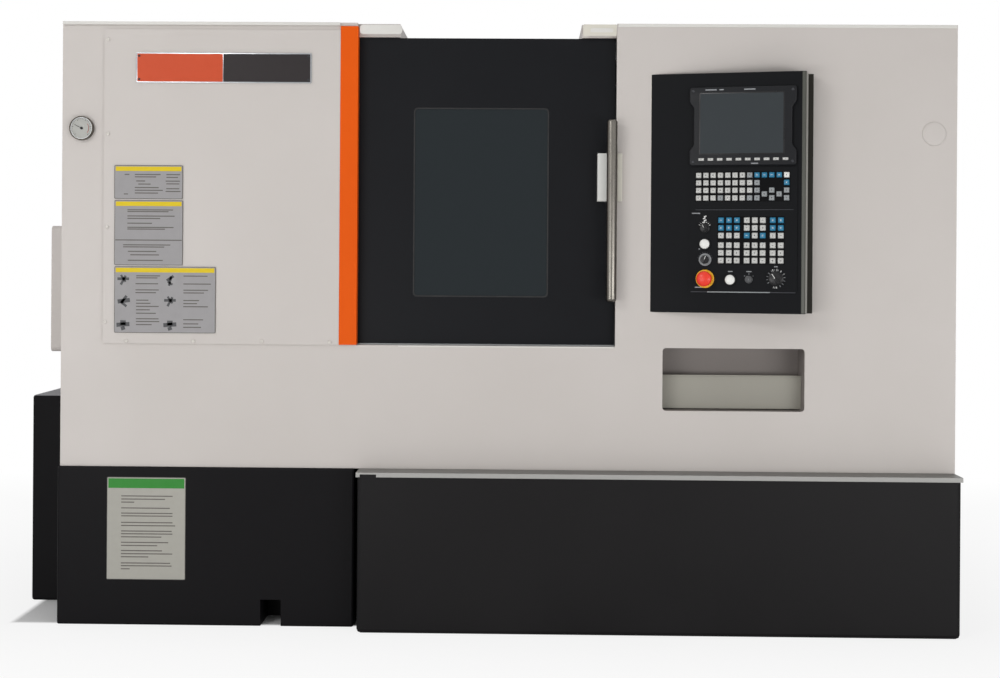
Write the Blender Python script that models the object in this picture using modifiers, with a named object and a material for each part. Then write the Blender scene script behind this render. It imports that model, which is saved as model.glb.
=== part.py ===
"""CNC turning lathe in its enclosure.

A slant-bed lathe: headstock with a three-jaw chuck at the left, a twelve-station turret on a cross
slide, a tailstock at the right, a sliding door, a wedge-shaped control panel and a coolant tank.
Metres, +Z up. The pieces are placed in machine coordinates: X from the enclosure's left side to the
right, Y from its front sheet to the back, Z from the floor. The last step moves the machine so that
the centre of its footprint is the origin.
"""
from math import acos, atan2, cos, pi, radians, sin, tau

import bmesh
import bpy
from mathutils import Matrix, Vector

for old in list(bpy.data.objects):
    bpy.data.objects.remove(old, do_unlink=True)

# Clearances and sheet metal
GAP = 0.0003                  # between pieces that touch
OVERRUN = 0.010               # how far a cutter reaches past the face that it cuts
SHEET = 0.0025                # enclosure sheet
FOLD = 0.025                  # depth of the sheet's folded edges
EDGE = 0.0015                 # small edge rounding
ARC_STEPS = 4                 # segments in a rounded corner
HOLE_STEPS = 12               # segments round a small hole
TURN_STEPS = 24               # segments round a turned piece

# Enclosure
ENCLOSURE_WIDTH = 2.600
ENCLOSURE_DEPTH = 1.450
ENCLOSURE_HEIGHT = 1.757
BASE_HEIGHT = 0.460
ROOF_HEIGHT = 0.0385          # height of the roof trays
ROOF_NOTCH_LEFT = 0.984
ROOF_NOTCH_RIGHT = 1.515
ROOF_NOTCH_DEPTH = 0.620

# Base, tank and left cabinet
BASE_OVERHANG = 0.005         # past the enclosure's left side
BASE_PROUD = 0.010            # ahead of the front sheet
BASE_LEFT_WIDTH = 0.867       # of the closed base under the headstock
BASE_REAR_INSET = 0.020
BASE_ROUND = 0.006
TANK_BAY_DEPTH = 0.600
NOTCH_LEFT = 0.590
NOTCH_WIDTH = 0.060
NOTCH_HEIGHT = 0.077
NOTCH_DEPTH = 0.140
TANK_GAP = 0.016              # between the base and the tank
TANK_PROUD = 0.087            # ahead of the front sheet
TANK_SIDE_INSET = 0.004
TANK_WALL = 0.003
TANK_ROUND = 0.012
TANK_LID_SHEET = 0.003
TANK_LID_LIP = 0.013
TANK_SLOT_OFFSET = 0.008
TANK_SLOT_WIDTH = 0.047
TANK_SLOT_HEIGHT = 0.008
CABINET_REACH = 0.178         # left of the enclosure
CABINET_FRONT = 0.300
CABINET_DEPTH = 0.950
CABINET_HEIGHT = 0.640
CABINET_ROUND = 0.008
CABINET_LOUVRES = 6
LOUVRE_WIDTH = 0.300
LOUVRE_HEIGHT = 0.012
LOUVRE_PITCH = 0.035
LOUVRE_DEPTH = 0.006
LOUVRE_TOP_INSET = 0.120

# Door opening and door
RIGHT_FRONT_WIDTH = 0.9835    # front sheet right of the door opening
SILL_HEIGHT = 0.819
DOOR_FRONT = 0.030            # door's front face behind the front sheet
DOOR_LAP = 0.020              # how far the door reaches behind the orange trim
DOOR_SIDE_GAP = 0.003
DOOR_BOTTOM_GAP = 0.0045
DOOR_TOP_DROP = 0.040         # door's top below the enclosure's top
DOOR_SHEET = 0.002
DOOR_FOLD = 0.024
WINDOW_LEFT_SHARE = 0.216     # of the door opening's width, left of the window
WINDOW_RIGHT_SHARE = 0.259    # the same, right of the window
WINDOW_BOTTOM = 0.960
WINDOW_DROP = 0.203           # window's top below the door's top
WINDOW_ROUND = 0.012
WINDOW_LAP = 0.018
WINDOW_THICKNESS = 0.008
HANDLE_RADIUS = 0.0155
HANDLE_INSET = 0.0145         # bar's axis from the right of the door opening
HANDLE_BOTTOM = 0.950
HANDLE_DROP = 0.241           # handle's top below the door's top
HANDLE_STANDOFF = 0.065       # bar's axis ahead of the door's face
HANDLE_POST_RADIUS = 0.008
HANDLE_POST_INSET = 0.075
HANDLE_FOOT_RADIUS = 0.011
HANDLE_FOOT_HEIGHT = 0.006
LATCH_REACH = 0.0545          # latch's left end from the right of the door opening
LATCH_BOTTOM = 1.241
LATCH_HEIGHT = 0.139
LATCH_FRONT = -0.012
LATCH_INSET = 0.001
TONGUE_LENGTH = 0.014
TONGUE_HEIGHT = 0.020
TONGUE_THICKNESS = 0.004
TONGUE_FRONT = -0.010
TONGUE_CLEARANCE = 0.001
INTERLOCK_WIDTH = 0.014
INTERLOCK_THICKNESS = 0.016
RAIL_SHEET = 0.003
RAIL_LEFT = 0.100
RAIL_REACH = 0.0235           # past the right of the door opening
RAIL_CHANNEL = 0.022
RAIL_LIP = 0.015
RAIL_DROP = 0.058
RAIL_OFFSET = 0.006          # behind the door's back edge
RUNNER_CLEARANCE = 0.002
HANGER_WIDTH = 0.060
HANGER_INSET = 0.080
HANGER_LAP = 0.010
GUIDE_THICKNESS = 0.008
GUIDE_CLEARANCE = 0.001
LOWER_RAIL_DEPTH = 0.026

# Headstock cover, trim and small front pieces
COVER_LEFT = 0.124
COVER_TOP_DROP = 0.022        # below the enclosure's top
COVER_FOLD = 0.006
COVER_SHEET = 0.002
COVER_HOLE_INSET = 0.045
TRIM_WIDTH = 0.0485           # left of the door opening
TRIM_PROUD = 0.008
TRIM_SHEET = 0.0025
TRIM_TOP_DROP = 0.011         # below the enclosure's top
GAUGE_X = 0.059
GAUGE_Z = 1.445
GAUGE_RADIUS = 0.035
GAUGE_DEPTH = 0.016
GAUGE_RIM = 0.003
GAUGE_STEM_RADIUS = 0.010
GAUGE_STEM_LENGTH = 0.030
PLUG_INSET = 0.066            # from the right side
PLUG_Z = 1.442
PLUG_RADIUS = 0.035
PLUG_DOME = 0.004
PLUG_HUB_RADIUS = 0.028
PLUG_HUB_LENGTH = 0.012
POCKET_INSET = 0.435          # from the right side
POCKET_WIDTH = 0.411
POCKET_RISE = 0.175           # pocket's lower edge above the base
POCKET_HEIGHT = 0.182
POCKET_ROUND = 0.010
POCKET_DEPTH = 0.110
POCKET_SHEET = 0.0015
POCKET_CLEARANCE = 0.005
CYLINDER_COVER_REACH = 0.147
CYLINDER_COVER_SIZE = 0.398
CYLINDER_COVER_ROUND = 0.015

# Rear cabinet
REAR_CABINET_LEFT = 0.700
REAR_CABINET_RIGHT = 2.250
REAR_CABINET_BOTTOM = 0.340
REAR_CABINET_TOP = 1.660
REAR_CABINET_DEPTH = 0.230
REAR_DOOR_MARGIN = 0.030
REAR_DOOR_THICKNESS = 0.004
MAIN_SWITCH_Z = 1.350
MAIN_SWITCH_RADIUS = 0.034
MAIN_SWITCH_BASE = 0.010
MAIN_SWITCH_GRIP = 0.028
MAIN_SWITCH_STEM_RADIUS = 0.006
MAIN_SWITCH_STEM_LENGTH = 0.020
GRIP_WIDTH_SHARE = 0.22       # of a rotary control's radius

# Spindle line
SPINDLE_Y = 0.580
SPINDLE_RISE = 0.510          # spindle axis above the base
SLANT = radians(45)
BED_DROP = 0.300              # slide plane below the spindle axis, square to the slant
HEADSTOCK_LEFT = 0.205
HEADSTOCK_INSET = 0.007       # headstock's end before the door opening
HEADSTOCK_HALF = 0.200
HEADSTOCK_SHOULDER = 0.110
HEADSTOCK_BARREL = 0.160
HEADSTOCK_RING = 0.012
HEADSTOCK_RINGS = 3
SPINDLE_RADIUS = 0.050
SPINDLE_BORE = 0.026
SPINDLE_REAR = 0.010
NOSE_RADIUS = 0.085
NOSE_LENGTH = 0.0267
NOSE_CLEARANCE = 0.003        # between the headstock and the spindle's nose
CHUCK_RADIUS = 0.105
CHUCK_STEPS = 28
CHUCK_THICKNESS = 0.092
CHUCK_CHAMFER = 0.006
CHUCK_WAIST_DEPTH = 0.004
CHUCK_WAIST_WIDTH = 0.012
JAW_COUNT = 3
JAW_WIDTH = 0.030
JAW_SLOT_DEPTH = 0.016
JAW_INNER = 0.034
JAW_OUTER = 0.097
JAW_STEP = 0.022
JAW_HEIGHT = 0.052
CYLINDER_RADIUS = 0.095
CYLINDER_LENGTH = 0.115
CYLINDER_NECK_RADIUS = 0.060
CYLINDER_NECK_LENGTH = 0.025
CYLINDER_HOLE_CLEARANCE = 0.020
PULLEY_LEFT = 0.120
PULLEY_WIDTH = 0.070
PULLEY_FLANGE = 0.005
PULLEY_FLANGE_HEIGHT = 0.006
SPINDLE_PULLEY_RADIUS = 0.105
MOTOR_PULLEY_RADIUS = 0.070
MOTOR_Y = 0.400
MOTOR_RISE = 0.185            # motor axis above the base
MOTOR_LEFT = 0.215
MOTOR_LENGTH = 0.400
MOTOR_RADIUS = 0.115
MOTOR_FIN_DEPTH = 0.008
MOTOR_FINS = 2
MOTOR_SHAFT_RADIUS = 0.019
MOTOR_SHAFT_END = 0.112
MOTOR_SHAFT_SEAT = 0.025
MOTOR_FOOT_WIDTH = 0.180
MOTOR_FOOT_INSET = 0.040
BELT_THICKNESS = 0.005

# Bed and ways, as (low, high) pairs along the slant, from the spindle axis
BED_LEFT = 0.180
BED_RIGHT_INSET = 0.150       # from the right side
BED_LOW = -0.230
BED_HIGH = 0.640
BED_TOE_Y = 0.500
BED_REAR_WEB = 0.060
WAY_HEIGHT = 0.020
WAYS = ((-0.190, -0.130), (0.110, 0.170), (0.500, 0.560))

# Carriage, cross slide and turret
CARRIAGE_PLACE = 0.560        # left of the tailstock at rest
CARRIAGE_WIDTH = 0.360
CARRIAGE_HIGH = 0.620
CARRIAGE_THICKNESS = 0.079
CARRIAGE_RELIEF = 0.012
GIB_WIDTH = 0.012
CROSS_GUIDE_WIDTH = 0.120
CROSS_GUIDE_HEIGHT = 0.020
X_MOTOR_SIZE = 0.130
X_MOTOR_LENGTH = 0.140
CROSS_LOW = 0.130
CROSS_LENGTH = 0.440
CROSS_THICKNESS = 0.050
CROSS_WIDTH = 0.300
CROSS_INSET = 0.030
TURRET_AXIS = 0.400           # turret's axis along the slant at rest
DISC_PLACE = 0.060            # turret disc's face left of the carriage
DISC_THICKNESS = 0.080
DISC_RADIUS = 0.160
DISC_CHAMFER = 0.006
STATIONS = 12
HUB_RADIUS = 0.060
HUB_HEIGHT = 0.018
TOOL_BLOCK_WIDTH = 0.056
TOOL_BLOCK_HEIGHT = 0.030
TOOL_SHANK = 0.020
TOOL_REACH = 0.026
BORING_RADIUS = 0.014
BORING_REACH = 0.055
TURRET_BODY_HALF = 0.125
TURRET_BODY_LENGTH = 0.270
TURRET_NECK_RADIUS = 0.080
TURRET_NECK_LENGTH = 0.020
TURRET_ROUND = 0.012

# Tailstock
TAILSTOCK_PLACE = 0.330       # from the right end of the bed
TAILSTOCK_LENGTH = 0.250
TAILSTOCK_SHOULDER_DROP = 0.060
TAILSTOCK_BARREL = 0.080
QUILL_RADIUS = 0.045
QUILL_LENGTH = 0.270
QUILL_REACH = 0.040
QUILL_BORE_RADIUS = 0.018
QUILL_BORE_DEPTH = 0.060
CENTRE_HEAD_RADIUS = 0.034
CENTRE_HEAD_LENGTH = 0.040
CENTRE_TIP_LENGTH = 0.036
CENTRE_TIP_RADIUS = 0.018
CENTRE_TIP_FLAT = 0.0015
CENTRE_SHANK_LENGTH = 0.050

# Inner sheets and lamp
BULKHEAD_INSET = 0.004        # right of the door opening's left edge
BULKHEAD_SHEET = 0.002
BULKHEAD_HOLE = 0.125
BULKHEAD_FRONT = 0.095
BULKHEAD_CLEARANCE = 0.006
LINER_SHEET = 0.002
LINER_LIP = 0.008             # what stays of the ledge beside the pocket
LINER_FRONT = 0.160
LINER_LEDGE_DROP = 0.016
LINER_LEDGE_FALL = 0.012
LINER_WALL_RISE = 0.180       # front wall's lower end above the base
LINER_FLOOR_RISE = 0.020      # floor above the base
LINER_FLOOR_START = 0.300
LINER_REAR = 0.480
LINER_INSET = 0.040           # from the right side
LAMP_LEFT = 1.050
LAMP_LENGTH = 0.400
LAMP_WIDTH = 0.060
LAMP_HEIGHT = 0.034
LAMP_ROUND = 0.006

# Control panel: a wedge, along its slanted front face
PANEL_PLACE = 0.0995          # right of the door opening
PANEL_ANGLE = radians(14)
PANEL_FACE = 0.444            # width of the slanted face
PANEL_BOTTOM = 0.921
PANEL_TOP = 1.610
PANEL_ROUND = 0.012
PANEL_SIDE_LEAN = 0.018
PANEL_FLANGE_WIDTH = 0.040
PANEL_FLANGE_DEPTH = 0.032
CONTROL_HOLE = 0.0085
CONTROL_HOLE_DEPTH = 0.024
FASCIA_LEFT = 0.114
FASCIA_RIGHT = 0.420
FASCIA_BOTTOM = 0.982
FASCIA_TOP = 1.338
FASCIA_THICKNESS = 0.003
FASCIA_ROUND = 0.006
DISPLAY_LEFT = 0.113
DISPLAY_RIGHT = 0.417
DISPLAY_BOTTOM = 1.343
DISPLAY_TOP = 1.568
DISPLAY_THICKNESS = 0.012
DISPLAY_WAIST = 0.012
DISPLAY_LOBE = 0.045
DISPLAY_ROUND = 0.004
SCREEN_LEFT = 0.145
SCREEN_RIGHT = 0.380
SCREEN_BOTTOM = 1.378
SCREEN_TOP = 1.549
SCREEN_RECESS = 0.004
SOFT_KEYS = 10
SOFT_KEY_FIRST = 0.148
SOFT_KEY_PITCH = 0.0265
SOFT_KEY_Z = 1.361
SOFT_KEY_WIDTH = 0.016
SOFT_KEY_HEIGHT = 0.0075
SOFT_KEY_RISE = 0.002
KEY_RISE = 0.0045
KEY_TOP_SHARE = 0.82
MDI_COLUMNS = 13
MDI_ROWS = 4
MDI_LEFT = 0.140
MDI_TOP_ROW = 1.316
MDI_PITCH_X = 0.0208
MDI_PITCH_Z = 0.0217
MDI_KEY = 0.0155
MDI_BLOCK_COLUMNS = 9
OPERATOR_GROUPS = (3, 3, 2)
OPERATOR_LEFT = 0.205
OPERATOR_TOP_ROW = 1.187
OPERATOR_PITCH_X = 0.0226
OPERATOR_GROUP_GAP = 0.0055
OPERATOR_PITCH_Z = 0.0218
OPERATOR_ROW_GAP = 0.006
OPERATOR_ROWS = 6
OPERATOR_KEY = 0.0165
KEYPAD_MARGIN = 0.0025
KEYPAD_ROUND = 0.002

# Controls on the panel: place along the face and height, then radius
SPINDLE_KNOB = (0.158, 1.165)
PROGRAM_STOP = (0.159, 1.119)
FEED_KNOB = (0.160, 1.074)
EMERGENCY_STOP = (0.160, 1.019)
CYCLE_START = (0.232, 1.017)
KEY_SWITCH = (0.285, 1.018)
MODE_KNOB = (0.361, 1.021)
SMALL_KNOB_RADIUS = 0.011
FEED_KNOB_RADIUS = 0.0125
MODE_KNOB_RADIUS = 0.018
KNOB_HEIGHT = 0.018
KNOB_SKIRT = 0.004
KNOB_SKIRT_LIP = 0.003
BUTTON_RADIUS = 0.015
BUTTON_HEIGHT = 0.010
BUTTON_LIFT = 0.004
STEM_RADIUS = 0.008
STEM_LENGTH = 0.014
MUSHROOM_RADIUS = 0.022
MUSHROOM_HEIGHT = 0.020
MUSHROOM_LIFT = 0.014
COLLAR_RADIUS = 0.028
COLLAR_HOLE = 0.0175
COLLAR_HEIGHT = 0.005
KEY_BARREL_RADIUS = 0.011
KEY_BARREL_HEIGHT = 0.008
KEY_SLOT_WIDTH = 0.002
KEY_SLOT_DEPTH = 0.003

# Collections and frames
machine = bpy.data.collections.new("cnc_turning_lathe")
cutter_collection = bpy.data.collections.new("cutters")
bpy.context.scene.collection.children.link(machine)
bpy.context.scene.collection.children.link(cutter_collection)

# Sizes that follow from others
OPENING_LEFT = BASE_LEFT_WIDTH - BASE_OVERHANG
OPENING_RIGHT = ENCLOSURE_WIDTH - RIGHT_FRONT_WIDTH
OPENING_WIDTH = OPENING_RIGHT - OPENING_LEFT
WINDOW_LEFT = OPENING_LEFT + OPENING_WIDTH * WINDOW_LEFT_SHARE
WINDOW_RIGHT = OPENING_RIGHT - OPENING_WIDTH * WINDOW_RIGHT_SHARE
HANDLE_X = OPENING_RIGHT - HANDLE_INSET
LATCH_LEFT = OPENING_RIGHT - LATCH_REACH
RAIL_RIGHT = OPENING_RIGHT + RAIL_REACH
PANEL_LEFT = OPENING_RIGHT + PANEL_PLACE
PLUG_X = ENCLOSURE_WIDTH - PLUG_INSET
POCKET_RIGHT = ENCLOSURE_WIDTH - POCKET_INSET
POCKET_LEFT = POCKET_RIGHT - POCKET_WIDTH
BED_RIGHT = ENCLOSURE_WIDTH - BED_RIGHT_INSET
TAILSTOCK_LEFT = BED_RIGHT - TAILSTOCK_PLACE
CARRIAGE_LEFT = TAILSTOCK_LEFT - CARRIAGE_PLACE
DISC_LEFT = CARRIAGE_LEFT - DISC_PLACE
LINER_RIGHT = ENCLOSURE_WIDTH - LINER_INSET
TANK_LEFT = OPENING_LEFT + TANK_GAP
TANK_RIM_HEIGHT = BASE_HEIGHT - GAP - TANK_LID_SHEET - GAP
TRIM_LEFT = OPENING_LEFT - TRIM_WIDTH
TRIM_TOP = ENCLOSURE_HEIGHT - TRIM_TOP_DROP
COVER_TOP = ENCLOSURE_HEIGHT - COVER_TOP_DROP
DOOR_TOP = ENCLOSURE_HEIGHT - DOOR_TOP_DROP
WINDOW_TOP = DOOR_TOP - WINDOW_DROP
HANDLE_TOP = DOOR_TOP - HANDLE_DROP
BULKHEAD_X = OPENING_LEFT + BULKHEAD_INSET
SPINDLE_Z = BASE_HEIGHT + SPINDLE_RISE
MOTOR_Z = BASE_HEIGHT + MOTOR_RISE
HEADSTOCK_RIGHT = OPENING_LEFT - HEADSTOCK_INSET
NOSE_BACK = HEADSTOCK_RIGHT + NOSE_CLEARANCE
NOSE_FRONT = NOSE_BACK + NOSE_LENGTH
CHUCK_BACK = NOSE_FRONT + GAP
POCKET_BOTTOM = BASE_HEIGHT + POCKET_RISE
POCKET_TOP = POCKET_BOTTOM + POCKET_HEIGHT
LINER_WALL_BOTTOM = BASE_HEIGHT + LINER_WALL_RISE
LINER_FLOOR = BASE_HEIGHT + LINER_FLOOR_RISE

LEVEL = Matrix.Identity(4)
FRONT = Matrix.Rotation(pi / 2, 4, "X")
BACK = Matrix.Rotation(pi, 4, "Z") @ FRONT
RIGHT = Matrix.Rotation(pi / 2, 4, "Z") @ FRONT
LEFT = Matrix.Rotation(-pi / 2, 4, "Z") @ FRONT
UPSIDE_DOWN = Matrix.Rotation(pi, 4, "X")
SPINDLE_LINE = Matrix.Translation((0, SPINDLE_Y, SPINDLE_Z))
SLANTED = SPINDLE_LINE @ Matrix.Rotation(SLANT, 4, "X")


def at(x, y, z):
    return Matrix.Translation((x, y, z))


# Local X and Y become world Y and Z, and local Z runs along the machine
ALONG = RIGHT
SPINDLE_AXIS = SPINDLE_LINE @ ALONG
MOTOR_AXIS = at(0, MOTOR_Y, MOTOR_Z) @ ALONG
TURRET_LINE = SLANTED @ at(0, TURRET_AXIS, 0) @ ALONG
MAIN_SWITCH_AXIS = at(REAR_CABINET_RIGHT, ENCLOSURE_DEPTH + REAR_CABINET_DEPTH / 2, MAIN_SWITCH_Z) @ RIGHT
ALONG_SLANT = SPINDLE_LINE @ Matrix.Rotation(SLANT, 4, "X") @ RIGHT
# Local X along the slanted face, local Y up, local Z out of the face
PANEL = at(PANEL_LEFT, 0, 0) @ Matrix.Rotation(-PANEL_ANGLE, 4, "Z") @ FRONT

# Places that several pieces share
DOOR_BACK = DOOR_FRONT + DOOR_FOLD
DOOR_BOTTOM = SILL_HEIGHT + DOOR_BOTTOM_GAP
GUIDE_Y = DOOR_FRONT + DOOR_FOLD / 2
TONGUE_Z = LATCH_BOTTOM + LATCH_HEIGHT / 2
TONGUE_TIP = OPENING_RIGHT - DOOR_SIDE_GAP - LATCH_INSET + TONGUE_LENGTH
CARRIAGE_TOP = -BED_DROP + GAP + CARRIAGE_THICKNESS
FASCIA_FACE = GAP + FASCIA_THICKNESS
CONTROLS = (SPINDLE_KNOB, PROGRAM_STOP, FEED_KNOB, EMERGENCY_STOP, CYCLE_START, KEY_SWITCH, MODE_KNOB)


def slant_point(along, out):
    """A place in the slanted plane as machine (y, z)."""
    place = SLANTED @ Vector((0, along, out))
    return place.y, place.z


# Materials
def linear(channel):
    share = channel / 255
    if share <= 0.04045:
        return share / 12.92
    return ((share + 0.055) / 1.055) ** 2.4


def finish(name, red, green, blue, roughness, metallic=0.0):
    material = bpy.data.materials.new(name)
    material.use_nodes = True
    shader = material.node_tree.nodes["Principled BSDF"]
    shader.inputs["Base Color"].default_value = (linear(red), linear(green), linear(blue), 1)
    shader.inputs["Roughness"].default_value = roughness
    shader.inputs["Metallic"].default_value = metallic
    material.diffuse_color = (linear(red), linear(green), linear(blue), 1)
    return material


CREAM = finish("cream_paint", 201, 196, 189, 0.45)
BLACK = finish("black_paint", 34, 33, 35, 0.45)
DOOR_BLACK = finish("door_black", 36, 37, 40, 0.35)
ORANGE = finish("orange_paint", 227, 96, 28, 0.40)
LID_GREY = finish("light_grey_paint", 170, 170, 168, 0.40)
GLASS = finish("tinted_polycarbonate", 46, 50, 52, 0.10)
CHROME = finish("polished_steel", 205, 205, 208, 0.20, 1.0)
WHITE = finish("white_plastic", 226, 226, 222, 0.40)
STEEL = finish("machined_steel", 160, 162, 165, 0.30, 1.0)
DARK_STEEL = finish("blackened_steel", 60, 61, 64, 0.35, 1.0)
CASTING = finish("grey_casting_paint", 120, 124, 126, 0.50)
RUBBER = finish("belt_rubber", 24, 24, 25, 0.80)
STAINLESS = finish("stainless_sheet", 175, 177, 178, 0.30, 1.0)
PANEL_BLACK = finish("panel_black", 30, 31, 34, 0.50)
SCREEN = finish("screen_grey", 62, 64, 68, 0.25)
KEY_LIGHT = finish("light_key", 205, 205, 202, 0.50)
RED = finish("stop_red", 238, 58, 40, 0.35)
YELLOW = finish("stop_yellow", 236, 196, 30, 0.40)
KNOB_BLACK = finish("knob_black", 22, 22, 23, 0.35)


# Modelling helpers
def add(name, mesh, frame, material=None):
    """A mesh becomes a sub-part, or a cutter when it has no material."""
    thing = bpy.data.objects.new(name, mesh)
    thing.matrix_world = frame
    if material is None:
        cutter_collection.objects.link(thing)
        thing.hide_render = True
        thing.display_type = "WIRE"
    else:
        machine.objects.link(thing)
        mesh.materials.append(material)
    return thing


def mesh_from(name, build):
    """Run a bmesh recipe and return its mesh."""
    work = bmesh.new()
    build(work)
    mesh = bpy.data.meshes.new(name)
    work.to_mesh(mesh)
    work.free()
    return mesh


def block_into(work, low, high):
    """A cube primitive between two corners."""
    low = Vector(low)
    high = Vector(high)
    middle = Matrix.Translation((low + high) / 2)
    size = Matrix.Diagonal((*(high - low), 1))
    return bmesh.ops.create_cube(work, size=1, matrix=middle @ size)["verts"]


def block(name, low, high, frame=LEVEL, material=None, rounding=0):
    thing = add(name, mesh_from(name, lambda work: block_into(work, low, high)), frame, material)
    if rounding:
        round_edges(thing, rounding)
    return thing


def rod(name, radius, start, end, frame, material=None, sides=TURN_STEPS):
    """A cylinder primitive along local Z."""
    def build(work):
        bmesh.ops.create_cone(work, cap_ends=True, segments=sides, radius1=radius, radius2=radius,
                              depth=end - start, matrix=at(0, 0, (start + end) / 2))
    thing = add(name, mesh_from(name, build), frame, material)
    smooth(thing)
    return thing


def smooth(thing, angle=radians(35)):
    thing.data.shade_smooth()
    thing.data.set_sharp_from_angle(angle=angle)


def round_edges(thing, width, segments=2, angle=radians(40)):
    bevel = thing.modifiers.new("rounding", "BEVEL")
    bevel.width = width
    bevel.segments = segments
    bevel.limit_method = "ANGLE"
    bevel.angle_limit = angle
    return bevel


def cut(thing, cutter):
    boolean = thing.modifiers.new("cut_" + cutter.name, "BOOLEAN")
    boolean.operation = "DIFFERENCE"
    boolean.solver = "EXACT"
    boolean.object = cutter
    return boolean


def join(thing, other):
    boolean = cut(thing, other)
    boolean.name = "join_" + other.name
    boolean.operation = "UNION"
    return boolean


def plate(name, outlines, start, end, frame, material=None):
    """Flat outlines, holes included, filled and given a thickness along local Z."""
    curve = bpy.data.curves.new(name, "CURVE")
    curve.dimensions = "2D"
    curve.fill_mode = "BOTH"
    curve.extrude = (end - start) / 2
    for outline in outlines:
        spline = curve.splines.new("POLY")
        spline.points.add(len(outline) - 1)
        for point, (x, y) in zip(spline.points, outline):
            point.co = (x, y, 0, 1)
        spline.use_cyclic_u = True
    source = bpy.data.objects.new(name + "_outline", curve)
    machine.objects.link(source)
    bpy.context.view_layer.update()
    graph = bpy.context.evaluated_depsgraph_get()
    mesh = bpy.data.meshes.new_from_object(source.evaluated_get(graph))
    bpy.data.objects.remove(source, do_unlink=True)
    bpy.data.curves.remove(curve)
    work = bmesh.new()
    work.from_mesh(mesh)
    bmesh.ops.translate(work, verts=work.verts, vec=(0, 0, (start + end) / 2))
    bmesh.ops.remove_doubles(work, verts=work.verts, dist=GAP / 30)
    bmesh.ops.recalc_face_normals(work, faces=work.faces)
    work.to_mesh(mesh)
    work.free()
    mesh.name = name
    mesh.materials.clear()
    return add(name, mesh, frame, material)


def folded_sheet(name, outline, fold, thickness, frame, material):
    """A sheet in the local XY plane, facing +Z, with its whole edge folded back."""
    def build(work):
        face = work.faces.new([work.verts.new((x, y, 0)) for x, y in outline])
        walls = bmesh.ops.extrude_edge_only(work, edges=list(face.edges))["geom"]
        moved = [item for item in walls if isinstance(item, bmesh.types.BMVert)]
        bmesh.ops.translate(work, verts=moved, vec=(0, 0, -fold))
        bmesh.ops.recalc_face_normals(work, faces=work.faces)
        if face.normal.z < 0:
            bmesh.ops.reverse_faces(work, faces=work.faces)
    thing = add(name, mesh_from(name, build), frame, material)
    shell = thing.modifiers.new("thickness", "SOLIDIFY")
    shell.thickness = thickness
    shell.offset = -1
    shell.use_even_offset = True
    return thing


def turned(name, profile, frame, material=None, steps=TURN_STEPS, closed=False):
    """A profile of (radius, along) points turned about local Z, from its far end to its near end."""
    def build(work):
        points = [work.verts.new((radius, 0, along)) for radius, along in profile]
        for first, second in zip(points, points[1:]):
            work.edges.new((first, second))
        if closed:
            work.edges.new((points[-1], points[0]))
    thing = add(name, mesh_from(name, build), frame, material)
    screw = thing.modifiers.new("turning", "SCREW")
    screw.angle = tau
    screw.steps = steps
    screw.render_steps = steps
    screw.use_merge_vertices = True
    screw.merge_threshold = GAP / 10
    screw.use_smooth_shade = True
    return thing


def rectangle(low_x, low_y, high_x, high_y):
    return [(low_x, low_y), (high_x, low_y), (high_x, high_y), (low_x, high_y)]


def rounded_rectangle(low_x, low_y, high_x, high_y, radius):
    """Counter-clockwise outline with an arc in each corner."""
    centres = ((high_x - radius, low_y + radius, -pi / 2), (high_x - radius, high_y - radius, 0),
               (low_x + radius, high_y - radius, pi / 2), (low_x + radius, low_y + radius, pi))
    points = []
    for centre_x, centre_y, start in centres:
        points += arc(centre_x, centre_y, radius, start, start + pi / 2, ARC_STEPS)
    return points


def arc(centre_x, centre_y, radius, start, end, steps):
    angles = [start + (end - start) * step / steps for step in range(steps + 1)]
    return [(centre_x + radius * cos(angle), centre_y + radius * sin(angle)) for angle in angles]


def clear_bore(radius):
    """Corner radius of a faceted hole whose flats a turning piece's corners still clear."""
    return (radius + GAP) / cos(pi / TURN_STEPS)


def circle(centre_x, centre_y, radius, steps=HOLE_STEPS):
    return arc(centre_x, centre_y, radius, 0, tau, steps)[:-1]


def open_box(name, low, high, thickness, frame, material, rounding=0):
    """A box of sheet, open on its local +Z side."""
    def build(work):
        block_into(work, low, high)
        lid = [face for face in work.faces if face.normal.z > 0.5]
        bmesh.ops.delete(work, geom=lid, context="FACES")
    thing = add(name, mesh_from(name, build), frame, material)
    if rounding:
        round_edges(thing, rounding)
    shell = thing.modifiers.new("thickness", "SOLIDIFY")
    shell.thickness = thickness
    shell.offset = -1
    shell.use_even_offset = True
    return thing


def bent_sheet(name, path, start, end, thickness, frame, material):
    """A folded strip: a path in the local XY plane, drawn out along local Z."""
    def build(work):
        points = [work.verts.new((x, y, start)) for x, y in path]
        edges = [work.edges.new(pair) for pair in zip(points, points[1:])]
        drawn = bmesh.ops.extrude_edge_only(work, edges=edges)["geom"]
        moved = [item for item in drawn if isinstance(item, bmesh.types.BMVert)]
        bmesh.ops.translate(work, verts=moved, vec=(0, 0, end - start))
    thing = add(name, mesh_from(name, build), frame, material)
    shell = thing.modifiers.new("thickness", "SOLIDIFY")
    shell.thickness = thickness
    shell.offset = 0
    shell.use_even_offset = True
    return thing


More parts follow.
